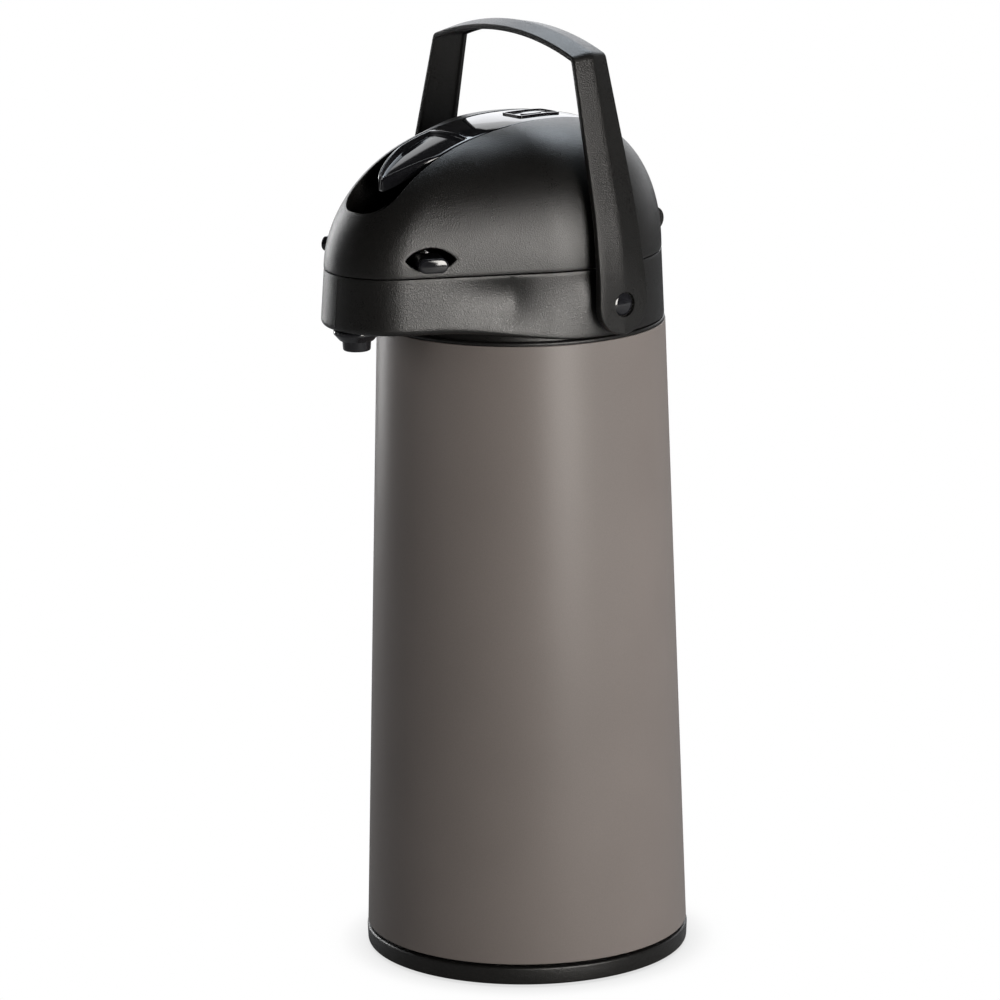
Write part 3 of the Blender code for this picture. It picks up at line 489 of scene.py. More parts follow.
def build_body():
    base = [
        (0, BASE_FLOOR),
        (FOOT_PAD_RADIUS, BASE_FLOOR),
        (FOOT_PAD_RADIUS, BASE_UNDERSIDE),
        (FOOT_RADIUS - 0.4, BASE_UNDERSIDE),
        (FOOT_RADIUS - 0.1, BASE_TOP),
        (BASE_BORE, BASE_TOP),
        (BASE_BORE, BASE_FLOOR_TOP),
        (0, BASE_FLOOR_TOP),
    ]
    radii = [0, 0, 0.3, 1.3, 1.0, 0.4, 0, 0]
    outline = rounded(base, radii, 5)
    ring = turned("base_ring_fine", outline)
    hub = [(0, 4.6), (HUB_RADIUS, 4.6), (HUB_RADIUS, HUB_TOP), (1.7, HUB_TOP), (1.7, 6.5), (0, 6.5)]
    boolean(ring, "UNION", turned("base_hub", hub, 48))
    place(ring, "base", "textured_plastic", "base_ring")

    shell = [
        (SHELL_RADIUS_BOTTOM, SHELL_BOTTOM),
        (SHELL_RADIUS_TOP, SHELL_TOP),
        (SHELL_RADIUS_TOP - SHELL_WALL, SHELL_TOP),
        (SHELL_RADIUS_BOTTOM - SHELL_WALL, SHELL_BOTTOM),
    ]
    outline = rounded(shell, [0.38, 0.38, 0.1, 0.1], 4)
    place(turned("painted_shell", outline, 256), "pot", "painted_shell", "outer_shell")

    neck = COLLAR_BORE - 0.6
    shoulder = [
        (SHOULDER_RADIUS, SHOULDER_BOTTOM),
        (SHOULDER_RADIUS, SHELL_TOP + 0.3),
        (SHELL_RADIUS_TOP - 0.3, SHELL_TOP + 0.3),
        (SHELL_RADIUS_TOP - 0.3, SHELL_TOP + 1.5),
        (neck, SHELL_TOP + 1.5),
        (neck, NECK_TOP),
        (NECK_BORE, NECK_TOP),
        (NECK_BORE, 281.0),
        (SHOULDER_BORE, 277.0),
        (SHOULDER_BORE, SHOULDER_BOTTOM),
    ]
    outline = rounded(shoulder, [0, 0, 0.2, 0.5, 0.2, 0.6, 0.6, 0, 0, 0], 3)
    place(turned("shoulder_ring_fine", outline), "pot", "textured_plastic", "shoulder_ring")

    nozzle = [
        (3.6, NOZZLE_TIP_Z),
        (5.8, NOZZLE_TIP_Z),
        (6.1, 280.2),
        (7.2, 280.2),
        (NOZZLE_FLANGE_RADIUS, 283.0),
        (NOZZLE_FLANGE_RADIUS, NOSE_BOTTOM - 0.3),
        (NOZZLE_RADIUS, NOSE_BOTTOM - 0.3),
        (NOZZLE_RADIUS, NOZZLE_TOP_Z),
        (4.0, NOZZLE_TOP_Z),
    ]
    outline = rounded(nozzle, [0.3, 0.9, 0.3, 0.3, 0.7, 0.2, 0, 0, 0], 4)
    nozzle_piece = turned("nozzle_fine", outline, 72, (0, SPOUT_Y))
    place(nozzle_piece, "pot", "gloss_plastic", "spout_nozzle")


def build_mouth():
    """The pieces seen when the lid stands open."""
    funnel = [
        (26.6, 291.6),
        (40.0, 291.6),
        (55.0, 298.0),
        (58.2, 302.5),
        (58.2, 304.5),
        (56.5, 304.5),
        (53.8, 299.8),
        (39.5, 294.0),
        (26.6, 294.0),
    ]
    outline = rounded(funnel, [0.3, 3, 4, 2, 0.7, 0.7, 3, 3, 0.4], 4)
    piece = turned("funnel_fine", outline, 128)
    bm = bmesh.new()
    bmesh.ops.create_cube(bm, size=1.0)
    bmesh.ops.scale(bm, vec=(11, 19, 14.5), verts=bm.verts)
    bmesh.ops.translate(bm, vec=(0, -54.5, 304.75), verts=bm.verts)
    boolean(piece, "DIFFERENCE", raw_object("notch", bm))
    place(piece, "pot", "inner_plastic", "mouth_funnel")

    disc = [(0, STOPPER_BOTTOM), (STOPPER_RADIUS, STOPPER_BOTTOM), (STOPPER_RADIUS, STOPPER_TOP)]
    disc.append((0, STOPPER_TOP))
    plug = turned("stopper_fine", rounded(disc, [0, 0.8, 0.8, 0], 4), 128)
    ribs = []
    for i in range(6):
        start = around(math.radians(60 * i), 14, STOPPER_TOP - 0.4)
        end = around(math.radians(60 * i), 33, STOPPER_TOP - 0.4)
        ribs.append(cylinder(f"rib_{i}", 1.1, start, end, 24))
    boss = cylinder("boss", 6.5, (0, DIP_TUBE_Y, 288), (0, DIP_TUBE_Y, 298), 48)
    boolean(plug, "UNION", boss, *ribs)
    socket = cylinder("socket", 4.3, (0, DIP_TUBE_Y, 286), (0, DIP_TUBE_Y, 297), 48)
    duct_hole = cylinder("duct_hole", PORT_RADIUS, (0, DIP_TUBE_Y, 290), (0, DIP_TUBE_Y, 302), 48)
    air_hole = cylinder("air_hole", PORT_RADIUS, (0, AIR_PORT_Y, 290), (0, AIR_PORT_Y, 302), 48)
    boolean(plug, "DIFFERENCE", socket, duct_hole, air_hole)
    place(plug, "pot", "white_plastic", "stopper")


# ---------------------------------------------------------------- head outlines


def station_angles():
    turns = [math.tau * i / HEAD_STATIONS for i in range(HEAD_STATIONS)]
    return [t - NOSE_CROWDING * math.sin(t) for t in turns]


def hull_radius(angle, big, small, reach):
    """Distance from the pot's axis to the head outline, at an angle from the nose."""
    angle = abs((angle + math.pi) % math.tau - math.pi)
    centre = reach - small
    if centre <= big - small:
        return big
    flank_normal = math.pi / 2 - math.asin((big - small) / centre)
    nose_side = small * math.sin(flank_normal)
    nose_front = centre + small * math.cos(flank_normal)
    if angle <= math.atan2(nose_side, nose_front):
        return centre * math.cos(angle) + math.sqrt(small**2 - (centre * math.sin(angle)) ** 2)
    if angle < flank_normal:
        return big / math.cos(angle - flank_normal)
    return big


def around(angle, radius, z):
    return (radius * math.sin(angle), -radius * math.cos(angle), z)


def lid_radius(angle, rise, inset=0.0):
    """The dome's outline at a rise from 0 at the seam to 1 at the top."""
    big = (HEAD_RADIUS - inset) * (1 - rise**2.14) ** (1 / 3.17)
    reach = (NOSE_REACH - inset) * (1 - rise**1.86) ** (1 / 2.41)
    small = (NOSE_RADIUS - inset) * (1 - rise**3.37) ** (1 / 3.88)
    return hull_radius(angle, big, small, reach)


def lid_height(x, y):
    angle = math.atan2(x, -y)
    distance = math.hypot(x, y)
    low = 0.0
    high = 1.0
    for _ in range(30):
        middle = (low + high) / 2
        if lid_radius(angle, middle) > distance:
            low = middle
        else:
            high = middle
    return SEAM_Z + (LID_TOP - SEAM_Z) * low


def collar_bottom(y):
    share = smooth(-SLOPE_START_Y, -SLOPE_END_Y, -y)
    return COLLAR_BOTTOM + (NOSE_BOTTOM - COLLAR_BOTTOM) * share


def pivot_swell(point):
    """How far, in millimetres, the flank bulges out round the handle pivot."""
    height = 3.5
    along = point.y / 12.5
    up = (point.z - PIVOT_Z) / 9.5
    fade = 1 - smooth(SEAM_Z - 8.0, SEAM_Z - 1.5, point.z)
    return height * fade * math.exp(-(along**2) - up**2)


def collar_station(angle):
    """A closed loop round the collar's wall, with a shallow hollow along the flank under the seam."""
    top = SEAM_Z - SEAM_HALF_GAP
    upper = hull_radius(angle, HEAD_RADIUS, NOSE_RADIUS, NOSE_REACH)
    lower = hull_radius(
        angle, HEAD_RADIUS + COLLAR_FLARE, NOSE_RADIUS + COLLAR_FLARE, NOSE_REACH + NOSE_FLARE
    )
    bottom = collar_bottom(-lower * math.cos(angle))
    turn = abs((angle + math.pi) % math.tau - math.pi)
    deepest = min(2.5, upper - COLLAR_BORE - 0.9)
    hollow = deepest * smooth(0.35, 0.95, turn) * (1 - smooth(1.75, 2.3, turn))
    nose_share = (bottom - COLLAR_BOTTOM) / (NOSE_BOTTOM - COLLAR_BOTTOM)
    rounding = 0.8 + 1.8 * nose_share
    inside = max(COLLAR_BORE, upper - COLLAR_WALL - hollow)
    profile = [(upper - 0.45, top), (upper - 0.12, top - 0.14), (upper, top - 0.5)]
    rows = 20
    high = top - 0.5
    low = bottom + rounding
    for i in range(1, rows):
        share = i / rows
        dip = math.sin(math.pi * share**0.8) ** 1.4
        radius = upper + (lower - upper) * share - hollow * dip
        profile.append((radius, high + (low - high) * share))
    profile += [(lower - rounding + x, low + y) for x, y in arc((0, 0), rounding, 0, -90, 6)]
    section = [around(angle, inside, bottom + COLLAR_WALL), around(angle, inside, top)]
    for radius, z in profile:
        point = Vector(around(angle, radius, z))
        point.x += math.copysign(pivot_swell(point), point.x)
        section.append(tuple(point))
    return section + [around(angle, COLLAR_BORE, bottom)]


def build_collar():
    collar = loft("collar", [collar_station(angle) for angle in station_angles()], closed=True)
    joined = []
    for side in (-1, 1):
        start = (side * 59.4, 0, PIVOT_Z)
        joined.append(cylinder(f"boss{side}", 9.0, start, (side * 65.7, 0, PIVOT_Z)))
        joined.append(hinge_ear(side))
        joined.append(catch_ledge(side))
    boolean(collar, "UNION", *joined)
    cutters = [cylinder("nozzle_hole", 6.9, (0, SPOUT_Y, 280), (0, SPOUT_Y, 296))]
    cutters.append(hinge_hole())
    for side in (-1, 1):
        start = (side * 50.0, 0, PIVOT_Z)
        end = (side * 70.0, 0, PIVOT_Z)
        cutters.append(cylinder(f"pivot_hole{side}", PIVOT_HOLE_RADIUS, start, end, 48))
    cutters.append(parting_groove())
    boolean(collar, "DIFFERENCE", *cutters)
    collar.name = "collar_fine"
    place(collar, "pot", "textured_plastic", "head_collar", sharp=32)


def hinge_hole():
    return cylinder("pin_hole", HINGE_HOLE_RADIUS, (-15, HINGE_Y, HINGE_Z), (15, HINGE_Y, HINGE_Z), 32)


def parting_groove():
    """A hairline down the front of the nose where the two mould halves met."""
    front = -NOSE_REACH
    half = 0.16
    depth = 0.35
    sections = []
    for z, y in ((281.0, front - 1.8), (306.9, front - 0.1)):
        outer = y - 1.0
        inner = y + depth
        sections.append([(-half, outer, z), (half, outer, z), (half, inner, z), (-half, inner, z)])
    return loft("groove", sections)


def hinge_ear(side):
    foot = [(HINGE_Y - KNUCKLE_RADIUS, 307.5), (59.6, 307.5), (59.6, 298.0), (62.4, 298.0)]
    outline = arc((HINGE_Y, HINGE_Z), KNUCKLE_RADIUS, -50, 180, 28) + foot
    sections = [[(side * x, y, z) for y, z in outline] for x in (5.0, 10.0)]
    return loft(f"ear{side}", sections)


def catch_ledge(side):
    to_world = flank_frame(side)
    outline = [(-4.5, -10.8), (4.5, -10.8), (4.5, -9.0), (-4.5, -9.0)]
    return loft(f"ledge{side}", [[to_world(a, b, depth) for a, b in outline] for depth in (-3.7, -1.0)])


# ---------------------------------------------------------------- lid


def dome(inset, bottom, rings):
    """Rings of the dome from the bottom plane to just under its top."""
    steepest = 89.6
    sections = []
    for i in range(rings + 1):
        rise = math.sin(math.radians(steepest * i / rings)) ** 0.94
        z = bottom + (LID_TOP - inset - bottom) * rise
        sections.append([around(a, lid_radius(a, rise, inset), z) for a in station_angles()])
    return sections


def lid_skin():
    """The dome with a small rounded edge along the seam."""
    bottom = SEAM_Z + SEAM_HALF_GAP
    sections = dome(0.0, bottom, 64)
    first = []
    second = []
    for angle, point in zip(station_angles(), sections[0]):
        radius = math.hypot(point[0], point[1])
        first.append(around(angle, radius - 0.42, bottom))
        second.append(around(angle, radius - 0.10, bottom + 0.14))
    lifted = [(x, y, bottom + 0.5) for x, y, _ in sections[0]]
    later = [s for s in sections[1:] if s[0][2] > bottom + 0.9]
    return loft("lid", [first, second, lifted] + later)


def lever_surface(x, y):
    return lid_height(x, y) - 0.2


def lever_half_width(y):
    share = min((y - LEVER_TIP_Y + 0.6) / 21.0, 1.0)
    return LEVER_HALF_WIDTH * share**0.62


def lever_depth(y):
    """The lever is thicker at its tip, where the thumb pushes."""
    return LEVER_THICKNESS + LEVER_TIP_EXTRA * (1 - smooth(-73.0, -58.0, y))


def pressed(y, z):
    dy = y - LEVER_PIVOT_Y
    dz = z - LEVER_PIVOT_Z
    cosine = math.cos(LEVER_TRAVEL)
    sine = math.sin(LEVER_TRAVEL)
    return (LEVER_PIVOT_Y + dy * cosine - dz * sine, LEVER_PIVOT_Z + dy * sine + dz * cosine)


def well_half_width(y):
    """The well's sides are parallel, and its front end is a rounded square."""
    front_centre = WELL_FRONT_Y + WELL_HALF_WIDTH
    share = min(max((front_centre - y) / WELL_HALF_WIDTH, 0.0), 0.9995)
    return WELL_HALF_WIDTH * (1 - share**SCOOP_SQUARENESS) ** (1 / SCOOP_SQUARENESS)


def well_line():
    """(y, z) along the well's floor: a round scoop in front, then just clear of the pressed lever."""
    clearance = 0.8
    under = []
    for i in range(13):
        y = LEVER_TIP_Y + 2.4 * i
        under.append(pressed(y, lever_surface(lever_half_width(y), y) - lever_depth(y)))
    under = [(y, z - clearance) for y, z in under if y < -33]
    bowl_depth = under[0][1] - 0.5
    bowl_centre = WELL_FRONT_Y + WELL_HALF_WIDTH
    rim = lid_height(0.0, WELL_FRONT_Y) - 1.2
    bowl = []
    for i in range(18):
        angle = math.radians(88 * (1 - i / 17))
        z = bowl_depth + (rim - bowl_depth) * (1 - math.cos(angle))
        bowl.append((bowl_centre - WELL_HALF_WIDTH * math.sin(angle), z))
    hub_floor = LEVER_PIVOT_Z - 5.4
    rear = [(-31.5, WELL_FLOOR), (29.0, WELL_FLOOR), (33.0, hub_floor), (WELL_REAR_Y, hub_floor)]
    return bowl + [p for p in under if p[0] > bowl_centre + 0.5] + rear


def well_sections(grow, top):
    sections = []
    line = well_line()
    line = [(line[0][0] - grow, line[0][1])] + line[1:-1] + [(line[-1][0] + grow, line[-1][1])]
    for y, z in line:
        half = well_half_width(y + grow if y < WELL_FRONT_Y + 2 else y) + grow
        corner = min(1.2 + 4.5 * (1 - smooth(-75.0, -62.0, y)), half * 0.7)
        low = z - grow
        right = [(half - corner + a, low + corner + b) for a, b in arc((0, 0), corner, -90, 0, 6)]
        left = [(-x, h) for x, h in reversed(right)]
        section = left + right + [(half, top), (-half, top)]
        sections.append([(x, y, h) for x, h in section])
    return sections


def well_outline():
    """Points and outward normals round the well's mouth, in plan."""
    centre = WELL_FRONT_Y + WELL_HALF_WIDTH
    points = []
    power = 2 / SCOOP_SQUARENESS
    for i in range(65):
        turn = math.radians(-90 + 180 * i / 64)
        across = math.copysign(abs(math.sin(turn)) ** power, turn)
        ahead = abs(math.cos(turn)) ** power
        sideways = math.copysign(abs(across) ** (SCOOP_SQUARENESS - 1), turn)
        normal = Vector((sideways, -(ahead ** (SCOOP_SQUARENESS - 1)))).normalized()
        points.append((WELL_HALF_WIDTH * across, centre - WELL_HALF_WIDTH * ahead, tuple(normal)))
    right = [(WELL_HALF_WIDTH, centre + (WELL_REAR_Y - centre) * i / 60, (1, 0)) for i in range(1, 61)]
    points += right
    back = [(WELL_HALF_WIDTH * (1 - i / 4), WELL_REAR_Y, (0, 1)) for i in range(1, 8)]
    points += back
    points += [(-x, y, (-1, 0)) for x, y, _ in reversed(right)]
    return points


def well_edge_cutter():
    """Rounds the edge where the dome meets the well, more generously at the front lip."""
    sections = []
    for x, y, normal in well_outline():
        radius = 0.55 + 0.9 * (1 - smooth(-84.0, -70.0, y))
        outer = (x + normal[0] * radius, y + normal[1] * radius)
        edge_z = lid_height(x, y)
        outer_z = lid_height(*outer)
        slope = (outer_z - edge_z) / radius
        section = []
        for a, b in arc((radius, -radius), radius, 90, 180, 5):
            share = a / radius
            section.append((a, edge_z + slope * a * share + b))
        section = [(radius, outer_z + 1.5), (radius, outer_z + 0.03)] + section[1:]
        section += [(-0.4, section[-1][1]), (-0.4, outer_z + 1.5)]
        sections.append([(x + normal[0] * a, y + normal[1] * a, z) for a, z in section])
    return loft("well_edge", sections, closed=True)


def flank_normal(side):
    tilt = math.asin((HEAD_RADIUS - NOSE_RADIUS) / (NOSE_REACH - NOSE_RADIUS))
    return Vector((side * math.cos(tilt), -math.sin(tilt), 0.0))


def flank_frame(side):
    normal = flank_normal(side)
    along = Vector((0, 0, 1)).cross(normal)
    spot = Vector((side * BUTTON_SPOT.x, BUTTON_SPOT.y, BUTTON_SPOT.z))

    def to_world(a, b, depth):
        return tuple(spot + along * a + Vector((0, 0, b)) + normal * depth)

    return to_world


def flank_depth(to_world, a, b):
    """Depth at which the dome's surface lies under a spot on the flank."""
    low = -8.0
    high = 8.0
    for _ in range(30):
        middle = (low + high) / 2
        x, y, z = to_world(a, b, middle)
        rise = (z - SEAM_Z - 0.2) / (LID_TOP - SEAM_Z - 0.2)
        if lid_radius(math.atan2(x, -y), rise) > math.hypot(x, y):
            low = middle
        else:
            high = middle
    return low


def eye_outline(count=24):
    radius = (EYE_HALF_LENGTH**2 + EYE_HALF_HEIGHT**2) / (2 * EYE_HALF_HEIGHT)
    sweep = math.degrees(math.asin(EYE_HALF_LENGTH / radius))
    upper = arc((0, EYE_RISE + EYE_HALF_HEIGHT - radius), radius, 90 - sweep, 90 + sweep, count)
    lower = arc((0, EYE_RISE + radius - EYE_HALF_HEIGHT), radius, 270 - sweep, 270 + sweep, count)
    return upper + lower[1:-1]


def eye_cutters(side):
    to_world = flank_frame(side)
    outline = eye_outline()
    hole = loft(f"eye{side}", [[to_world(a, b, depth) for a, b in outline] for depth in (-5.0, 9.0)])
    radius = 0.7
    sections = []
    count = len(outline)
    for i, (a, b) in enumerate(outline):
        before = Vector(outline[i - 1])
        after = Vector(outline[(i + 1) % count])
        tangent = (after - before).normalized()
        normal = Vector((tangent.y, -tangent.x))
        if normal.dot(Vector((a, b - EYE_RISE))) < 0:
            normal = -normal
        edge = flank_depth(to_world, a, b)
        outer = flank_depth(to_world, a + normal.x * radius, b + normal.y * radius)
        section = [(radius, outer + 1.2), (radius, outer + 0.02)]
        for offset, drop in arc((radius, -radius), radius, 90, 180, 4)[1:]:
            share = offset / radius
            section.append((offset, edge + (outer - edge) * share + drop))
        section += [(-0.3, section[-1][1]), (-0.3, outer + 1.2)]
        sections.append([to_world(a + normal.x * o, b + normal.y * o, d) for o, d in section])
    return [hole, loft(f"eye_edge{side}", sections, closed=True)]


def build_lid():
    lid = lid_skin()
    cavity = loft("cavity", dome(LID_WALL, SEAM_Z - 6, 24))
    blocks = [loft("well_block", well_sections(2.0, 390.0))]
    for i, (x, y) in enumerate(SCREW_SPOTS):
        blocks.append(cylinder(f"screw_boss{i}", 4.0, (x, y, 311.7), (x, y, 380), 32))
    boolean(cavity, "DIFFERENCE", *blocks)
    boolean(lid, "DIFFERENCE", cavity)
    boolean(lid, "DIFFERENCE", loft("well_pocket", well_sections(0.0, 385.0)))
    boolean(lid, "DIFFERENCE", well_edge_cutter())
    holes = [cylinder("plunger_hole", 8.6, (0, 0, 330), (0, 0, 350)), lever_hole(18.6)]
    for i, (x, y) in enumerate(SCREW_SPOTS):
        holes.append(cylinder(f"screw_bore{i}", 1.7, (x, y, 306), (x, y, 324), 24))
    for side in (-1, 1):
        holes += eye_cutters(side)
    boolean(lid, "DIFFERENCE", *holes)
    hinge = Vector((0, HINGE_Y, HINGE_Z))
    reach = Vector((KNUCKLE_HALF_WIDTH, 0, 0))
    boolean(lid, "UNION", hinge_arm(), cylinder("knuckle", KNUCKLE_RADIUS, hinge - reach, hinge + reach))
    boolean(lid, "DIFFERENCE", hinge_hole())
    lid.name = "lid_fine"
    place(lid, "lid", "textured_plastic", "lid_shell", sharp=32)


def lever_hole(half_length):
    pivot = Vector((0, LEVER_PIVOT_Y, LEVER_PIVOT_Z))
    reach = Vector((half_length, 0, 0))
    return cylinder("lever_hole", LEVER_HOLE_RADIUS, pivot - reach, pivot + reach, 32)


def hinge_arm():
    """A web that falls from the dome's back to the knuckle."""
    outline = [(58.8, 309.3), (HINGE_Y, 309.0), (HINGE_Y + 1.5, 318.6), (63.0, 320.4), (58.6, 324.5)]
    outline = rounded(outline, [0, 0, 1.5, 2.0, 0], 4)
    ends = (-KNUCKLE_HALF_WIDTH, KNUCKLE_HALF_WIDTH)
    return loft("arm", [[(x, y, z) for y, z in outline] for x in ends])


# ---------------------------------------------------------------- lever


def dish(offset, y):
    """Depth of the thumb dish at an offset in from the lever's edge."""
    wall = smooth(1.3, 2.9, offset)
    end = 1 - smooth(DISH_REAR_Y - 1.4, DISH_REAR_Y, y)
    run = min(max((y - LEVER_TIP_Y) / (DISH_REAR_Y - LEVER_TIP_Y), 0.0), 1.0)
    return DISH_DEPTH * wall * end * (0.6 + 0.4 * math.sin(math.pi * run))


def lever_rows():
    rows = [LEVER_TIP_Y + step for step in (0.0, 0.15, 0.4, 0.8, 1.4, 2.3, 3.5)]
    rows += [-69.0 + 1.6 * i for i in range(20)]
    rows += [DISH_REAR_Y - 1.4 + 0.35 * i for i in range(6)]
    rows += [-31.0 + 3.4 * i for i in range(9)]
    rows += [-3.4, -3.0, 3.0, 3.4, 6, 9, 12, 15, 18, 21, 24, 27, 30, 33, 35.6, 36.0, 38.5, 41.0, 43.5]
    rows += [LEVER_REAR_Y - 0.4, LEVER_REAR_Y - 0.12, LEVER_REAR_Y]
    return sorted(set(round(y, 3) for y in rows))


def build_lever():
    edge_steps = [0.0, 0.06, 0.18, 0.36, 0.6, 0.9, 1.3, 1.5, 1.7, 1.9, 2.1, 2.3, 2.5, 2.7, 2.9]
    inner = [0.32, 0.5, 0.68, 0.84]
    sections = []
    for y in lever_rows():
        half = lever_half_width(y)
        scale = min(1.0, half / 5.2)
        end_drop = 0.6 * (1 - smooth(0.0, 0.5, LEVER_REAR_Y - y))
        end_drop += 0.5 * (1 - smooth(0.0, 0.7, y - LEVER_TIP_Y))
        offsets = [s * scale for s in edge_steps]
        last = offsets[-1]
        offsets += [last + (half - last) * s for s in inner]
        right = []
        for offset in offsets:
            x = half - offset
            rounding = 0.6 * (1 - math.sqrt(max(0.0, 1 - (1 - min(offset / 0.6, 1.0)) ** 2)))
            right.append((x, lever_surface(x, y) - rounding - dish(offset, y) - end_drop))
        middle = [(0.0, lever_surface(0.0, y) - dish(half, y) - end_drop)]
        top = right + middle + [(-x, z) for x, z in reversed(right)]
        thickness = lever_depth(y)
        edge = lever_surface(half, y) - thickness
        low = lever_surface(0.0, y) - thickness - dish(half, y) * 0.6
        if abs(y) <= PUSH_PAD_HALF:
            low = PUSH_PAD_Z
        elif y >= LEVER_HUB_START_Y:
            low = LEVER_PIVOT_Z - LEVER_HUB_DROP
            edge = low
        else:
            low = max(edge, min(low, edge + 3))
        under = [(-half, edge), (-0.5 * half, low), (0.5 * half, low), (half, edge)]
        sections.append([(x, y, z) for x, z in top + under])
    lever = loft("lever", sections)
    boolean(lever, "DIFFERENCE", lever_hole(20.0))
    lever.name = "lever_fine"
    place(lever, "lever", "gloss_plastic", "press_lever", sharp=38)


def plate_outline(inset):
    """The label plate's edge in plan, moved inwards, with its straight sides divided finely."""
    half = 6.6 - inset
    front = -4.5 + inset
    rear = 17.5 - inset
    corners = [(half, front), (half, rear), (-half, rear), (-half, front)]
    loop = [Vector(point) for point in rounded(corners, [1.6 - 0.8 * inset] * 4, 4)]
    points = []
    for first, second in zip(loop, loop[1:] + loop[:1]):
        pieces = 14 if (second - first).length > 4.0 else 1
        points += [first.lerp(second, k / pieces) for k in range(pieces)]
    return points


def draped(outline, lift):
    """An outline in plan laid on the lever's top and lifted off it."""
    return [(x, y, lever_surface(x, y) + lift) for x, y in outline]


def build_label_plate():
    """A raised frame on the lever round a plain field with one oblong push mark."""
    loops = [(0.0, 0.05), (0.0, 0.6), (0.15, 0.75), (0.85, 0.75), (1.0, 0.6), (1.0, 0.05)]
    sections = [draped(plate_outline(inset), lift) for inset, lift in loops]
    frame_ring = loft("label_frame", sections, closed=True)
    turns = [math.tau * i / 40 for i in range(40)]
    pill = [(2.0 * math.cos(turn), 6.5 + 5.5 * math.sin(turn)) for turn in turns]
    mark = loft("push_mark", [draped(pill, -0.2), draped(pill, 0.35)])
    boolean(frame_ring, "UNION", mark)
    frame_ring.name = "label_plate_fine"
    place(frame_ring, "lever", "gloss_plastic", "lever_label_plate", sharp=30)


# ---------------------------------------------------------------- buttons


def stadium(length, height, count=12):
    half = height / 2
    reach = length / 2 - half
    return arc((reach, 0), half, -90, 90, count) + arc((-reach, 0), half, 90, 270, count)


def build_button(side):
    name = "left" if side < 0 else "right"
    to_world = flank_frame(side)
    outline = stadium(BUTTON_LENGTH, BUTTON_HEIGHT)
    rounding = 0.9
    steps = [(-8.0, 0.0), (0.0, 0.0), (BUTTON_OUT - rounding, 0.0)]
    for i in range(1, 7):
        turn = math.radians(15 * i)
        steps.append((BUTTON_OUT - rounding + rounding * math.sin(turn), rounding * (1 - math.cos(turn))))
    sections = []
    for depth, inset in steps:
        across = 1 - inset / (BUTTON_LENGTH / 2)
        tall = 1 - inset / (BUTTON_HEIGHT / 2)
        sections.append([to_world(a * across, b * tall, depth) for a, b in outline])
    button = loft("button", sections)
    hook = [(-8.0, -1.0), (-8.0, -13.4), (-4.0, -13.4), (-4.0, -11.8), (-5.6, -11.3), (-5.6, -1.0)]
    sections = [[to_world(along, up, depth) for depth, up in hook] for along in (-3.5, 3.5)]
    boolean(button, "UNION", loft("hook", sections))
    button.name = "button_fine_" + name
    place(button, "button_" + name, "gloss_plastic", "release_button_" + name, sharp=40)


# ---------------------------------------------------------------- handle


def handle_path(bend_steps, bar_steps):
    points = []
    for i in range(bend_steps + 1):
        lean = LEG_LEAN * i / bend_steps
        x = HANDLE_OUTER_X - LEG_BEND_RADIUS * (1 - math.cos(lean))
        points.append((x, PIVOT_Z + LEG_BEND_RADIUS * math.sin(lean), lean))
    bar_centre = Vector((0, HANDLE_TOP_Z - HANDLE_BAR_RADIUS))
    leg_end = Vector(points[-1][:2])
    upwards = Vector((-math.sin(LEG_LEAN), math.cos(LEG_LEAN)))
    outward = Vector((math.cos(LEG_LEAN), math.sin(LEG_LEAN)))
    start = leg_end - outward * HANDLE_CORNER_RADIUS - bar_centre
    reach = HANDLE_BAR_RADIUS - HANDLE_CORNER_RADIUS
    along = start.dot(upwards)
    straight = math.sqrt(along**2 - start.length_squared + reach**2) - along
    corner = leg_end + upwards * straight - outward * HANDLE_CORNER_RADIUS
    bar_start = math.atan2(corner.y - bar_centre.y, corner.x)
    for i in range(1, 6):
        spot = leg_end + upwards * straight * i / 6
        points.append((spot.x, spot.y, LEG_LEAN))
    for i in range(9):
        lean = LEG_LEAN + (bar_start - LEG_LEAN) * i / 8
        facing = Vector((math.cos(lean), math.sin(lean)))
        points.append((*(corner + facing * HANDLE_CORNER_RADIUS), lean))
    for i in range(1, bar_steps + 1):
        lean = bar_start + (math.pi / 2 - bar_start) * i / bar_steps
        facing = Vector((math.cos(lean), math.sin(lean)))
        points.append((*(bar_centre + facing * HANDLE_BAR_RADIUS), lean))
    return points


def strap_section(x, z, lean, half):
    """Across the strap: two shallow facets that meet in a ridge, soft edges, and a channel inside."""
    edge = min(0.7, half * 0.3)
    ridge = FOOT_RIDGE + (RIDGE_HEIGHT - FOOT_RIDGE) * smooth(PIVOT_Z + 2.0, PIVOT_Z + 30.0, z)
    flat = half - edge
    top = []
    for share in (-1.0, -0.75, -0.5, -0.25, -0.04, 0.04, 0.25, 0.5, 0.75, 1.0):
        top.append((share * flat, -ridge * abs(share)))
    right = [(half - 0.45 * edge, -ridge - 0.12 * edge), (half - 0.1 * edge, -ridge - 0.5 * edge)]
    right.append((half, -ridge - edge))
    left = [(-y, d) for y, d in reversed(right)]
    rim = min(1.7, half * 0.45)
    floor = 0.9
    back = -STRAP_THICKNESS
    under = [(half, back + 0.4), (half - 0.12, back + 0.1), (half - 0.4, back)]
    under += [(half - rim, back), (half - rim - 0.5, back + floor)]
    section = left + top + right + under + [(-y, d) for y, d in reversed(under)]
    outward = Vector((math.cos(lean), 0, math.sin(lean)))
    base = Vector((x, 0, z))
    return [tuple(base + outward * depth + Vector((0, y, 0))) for y, depth in section]


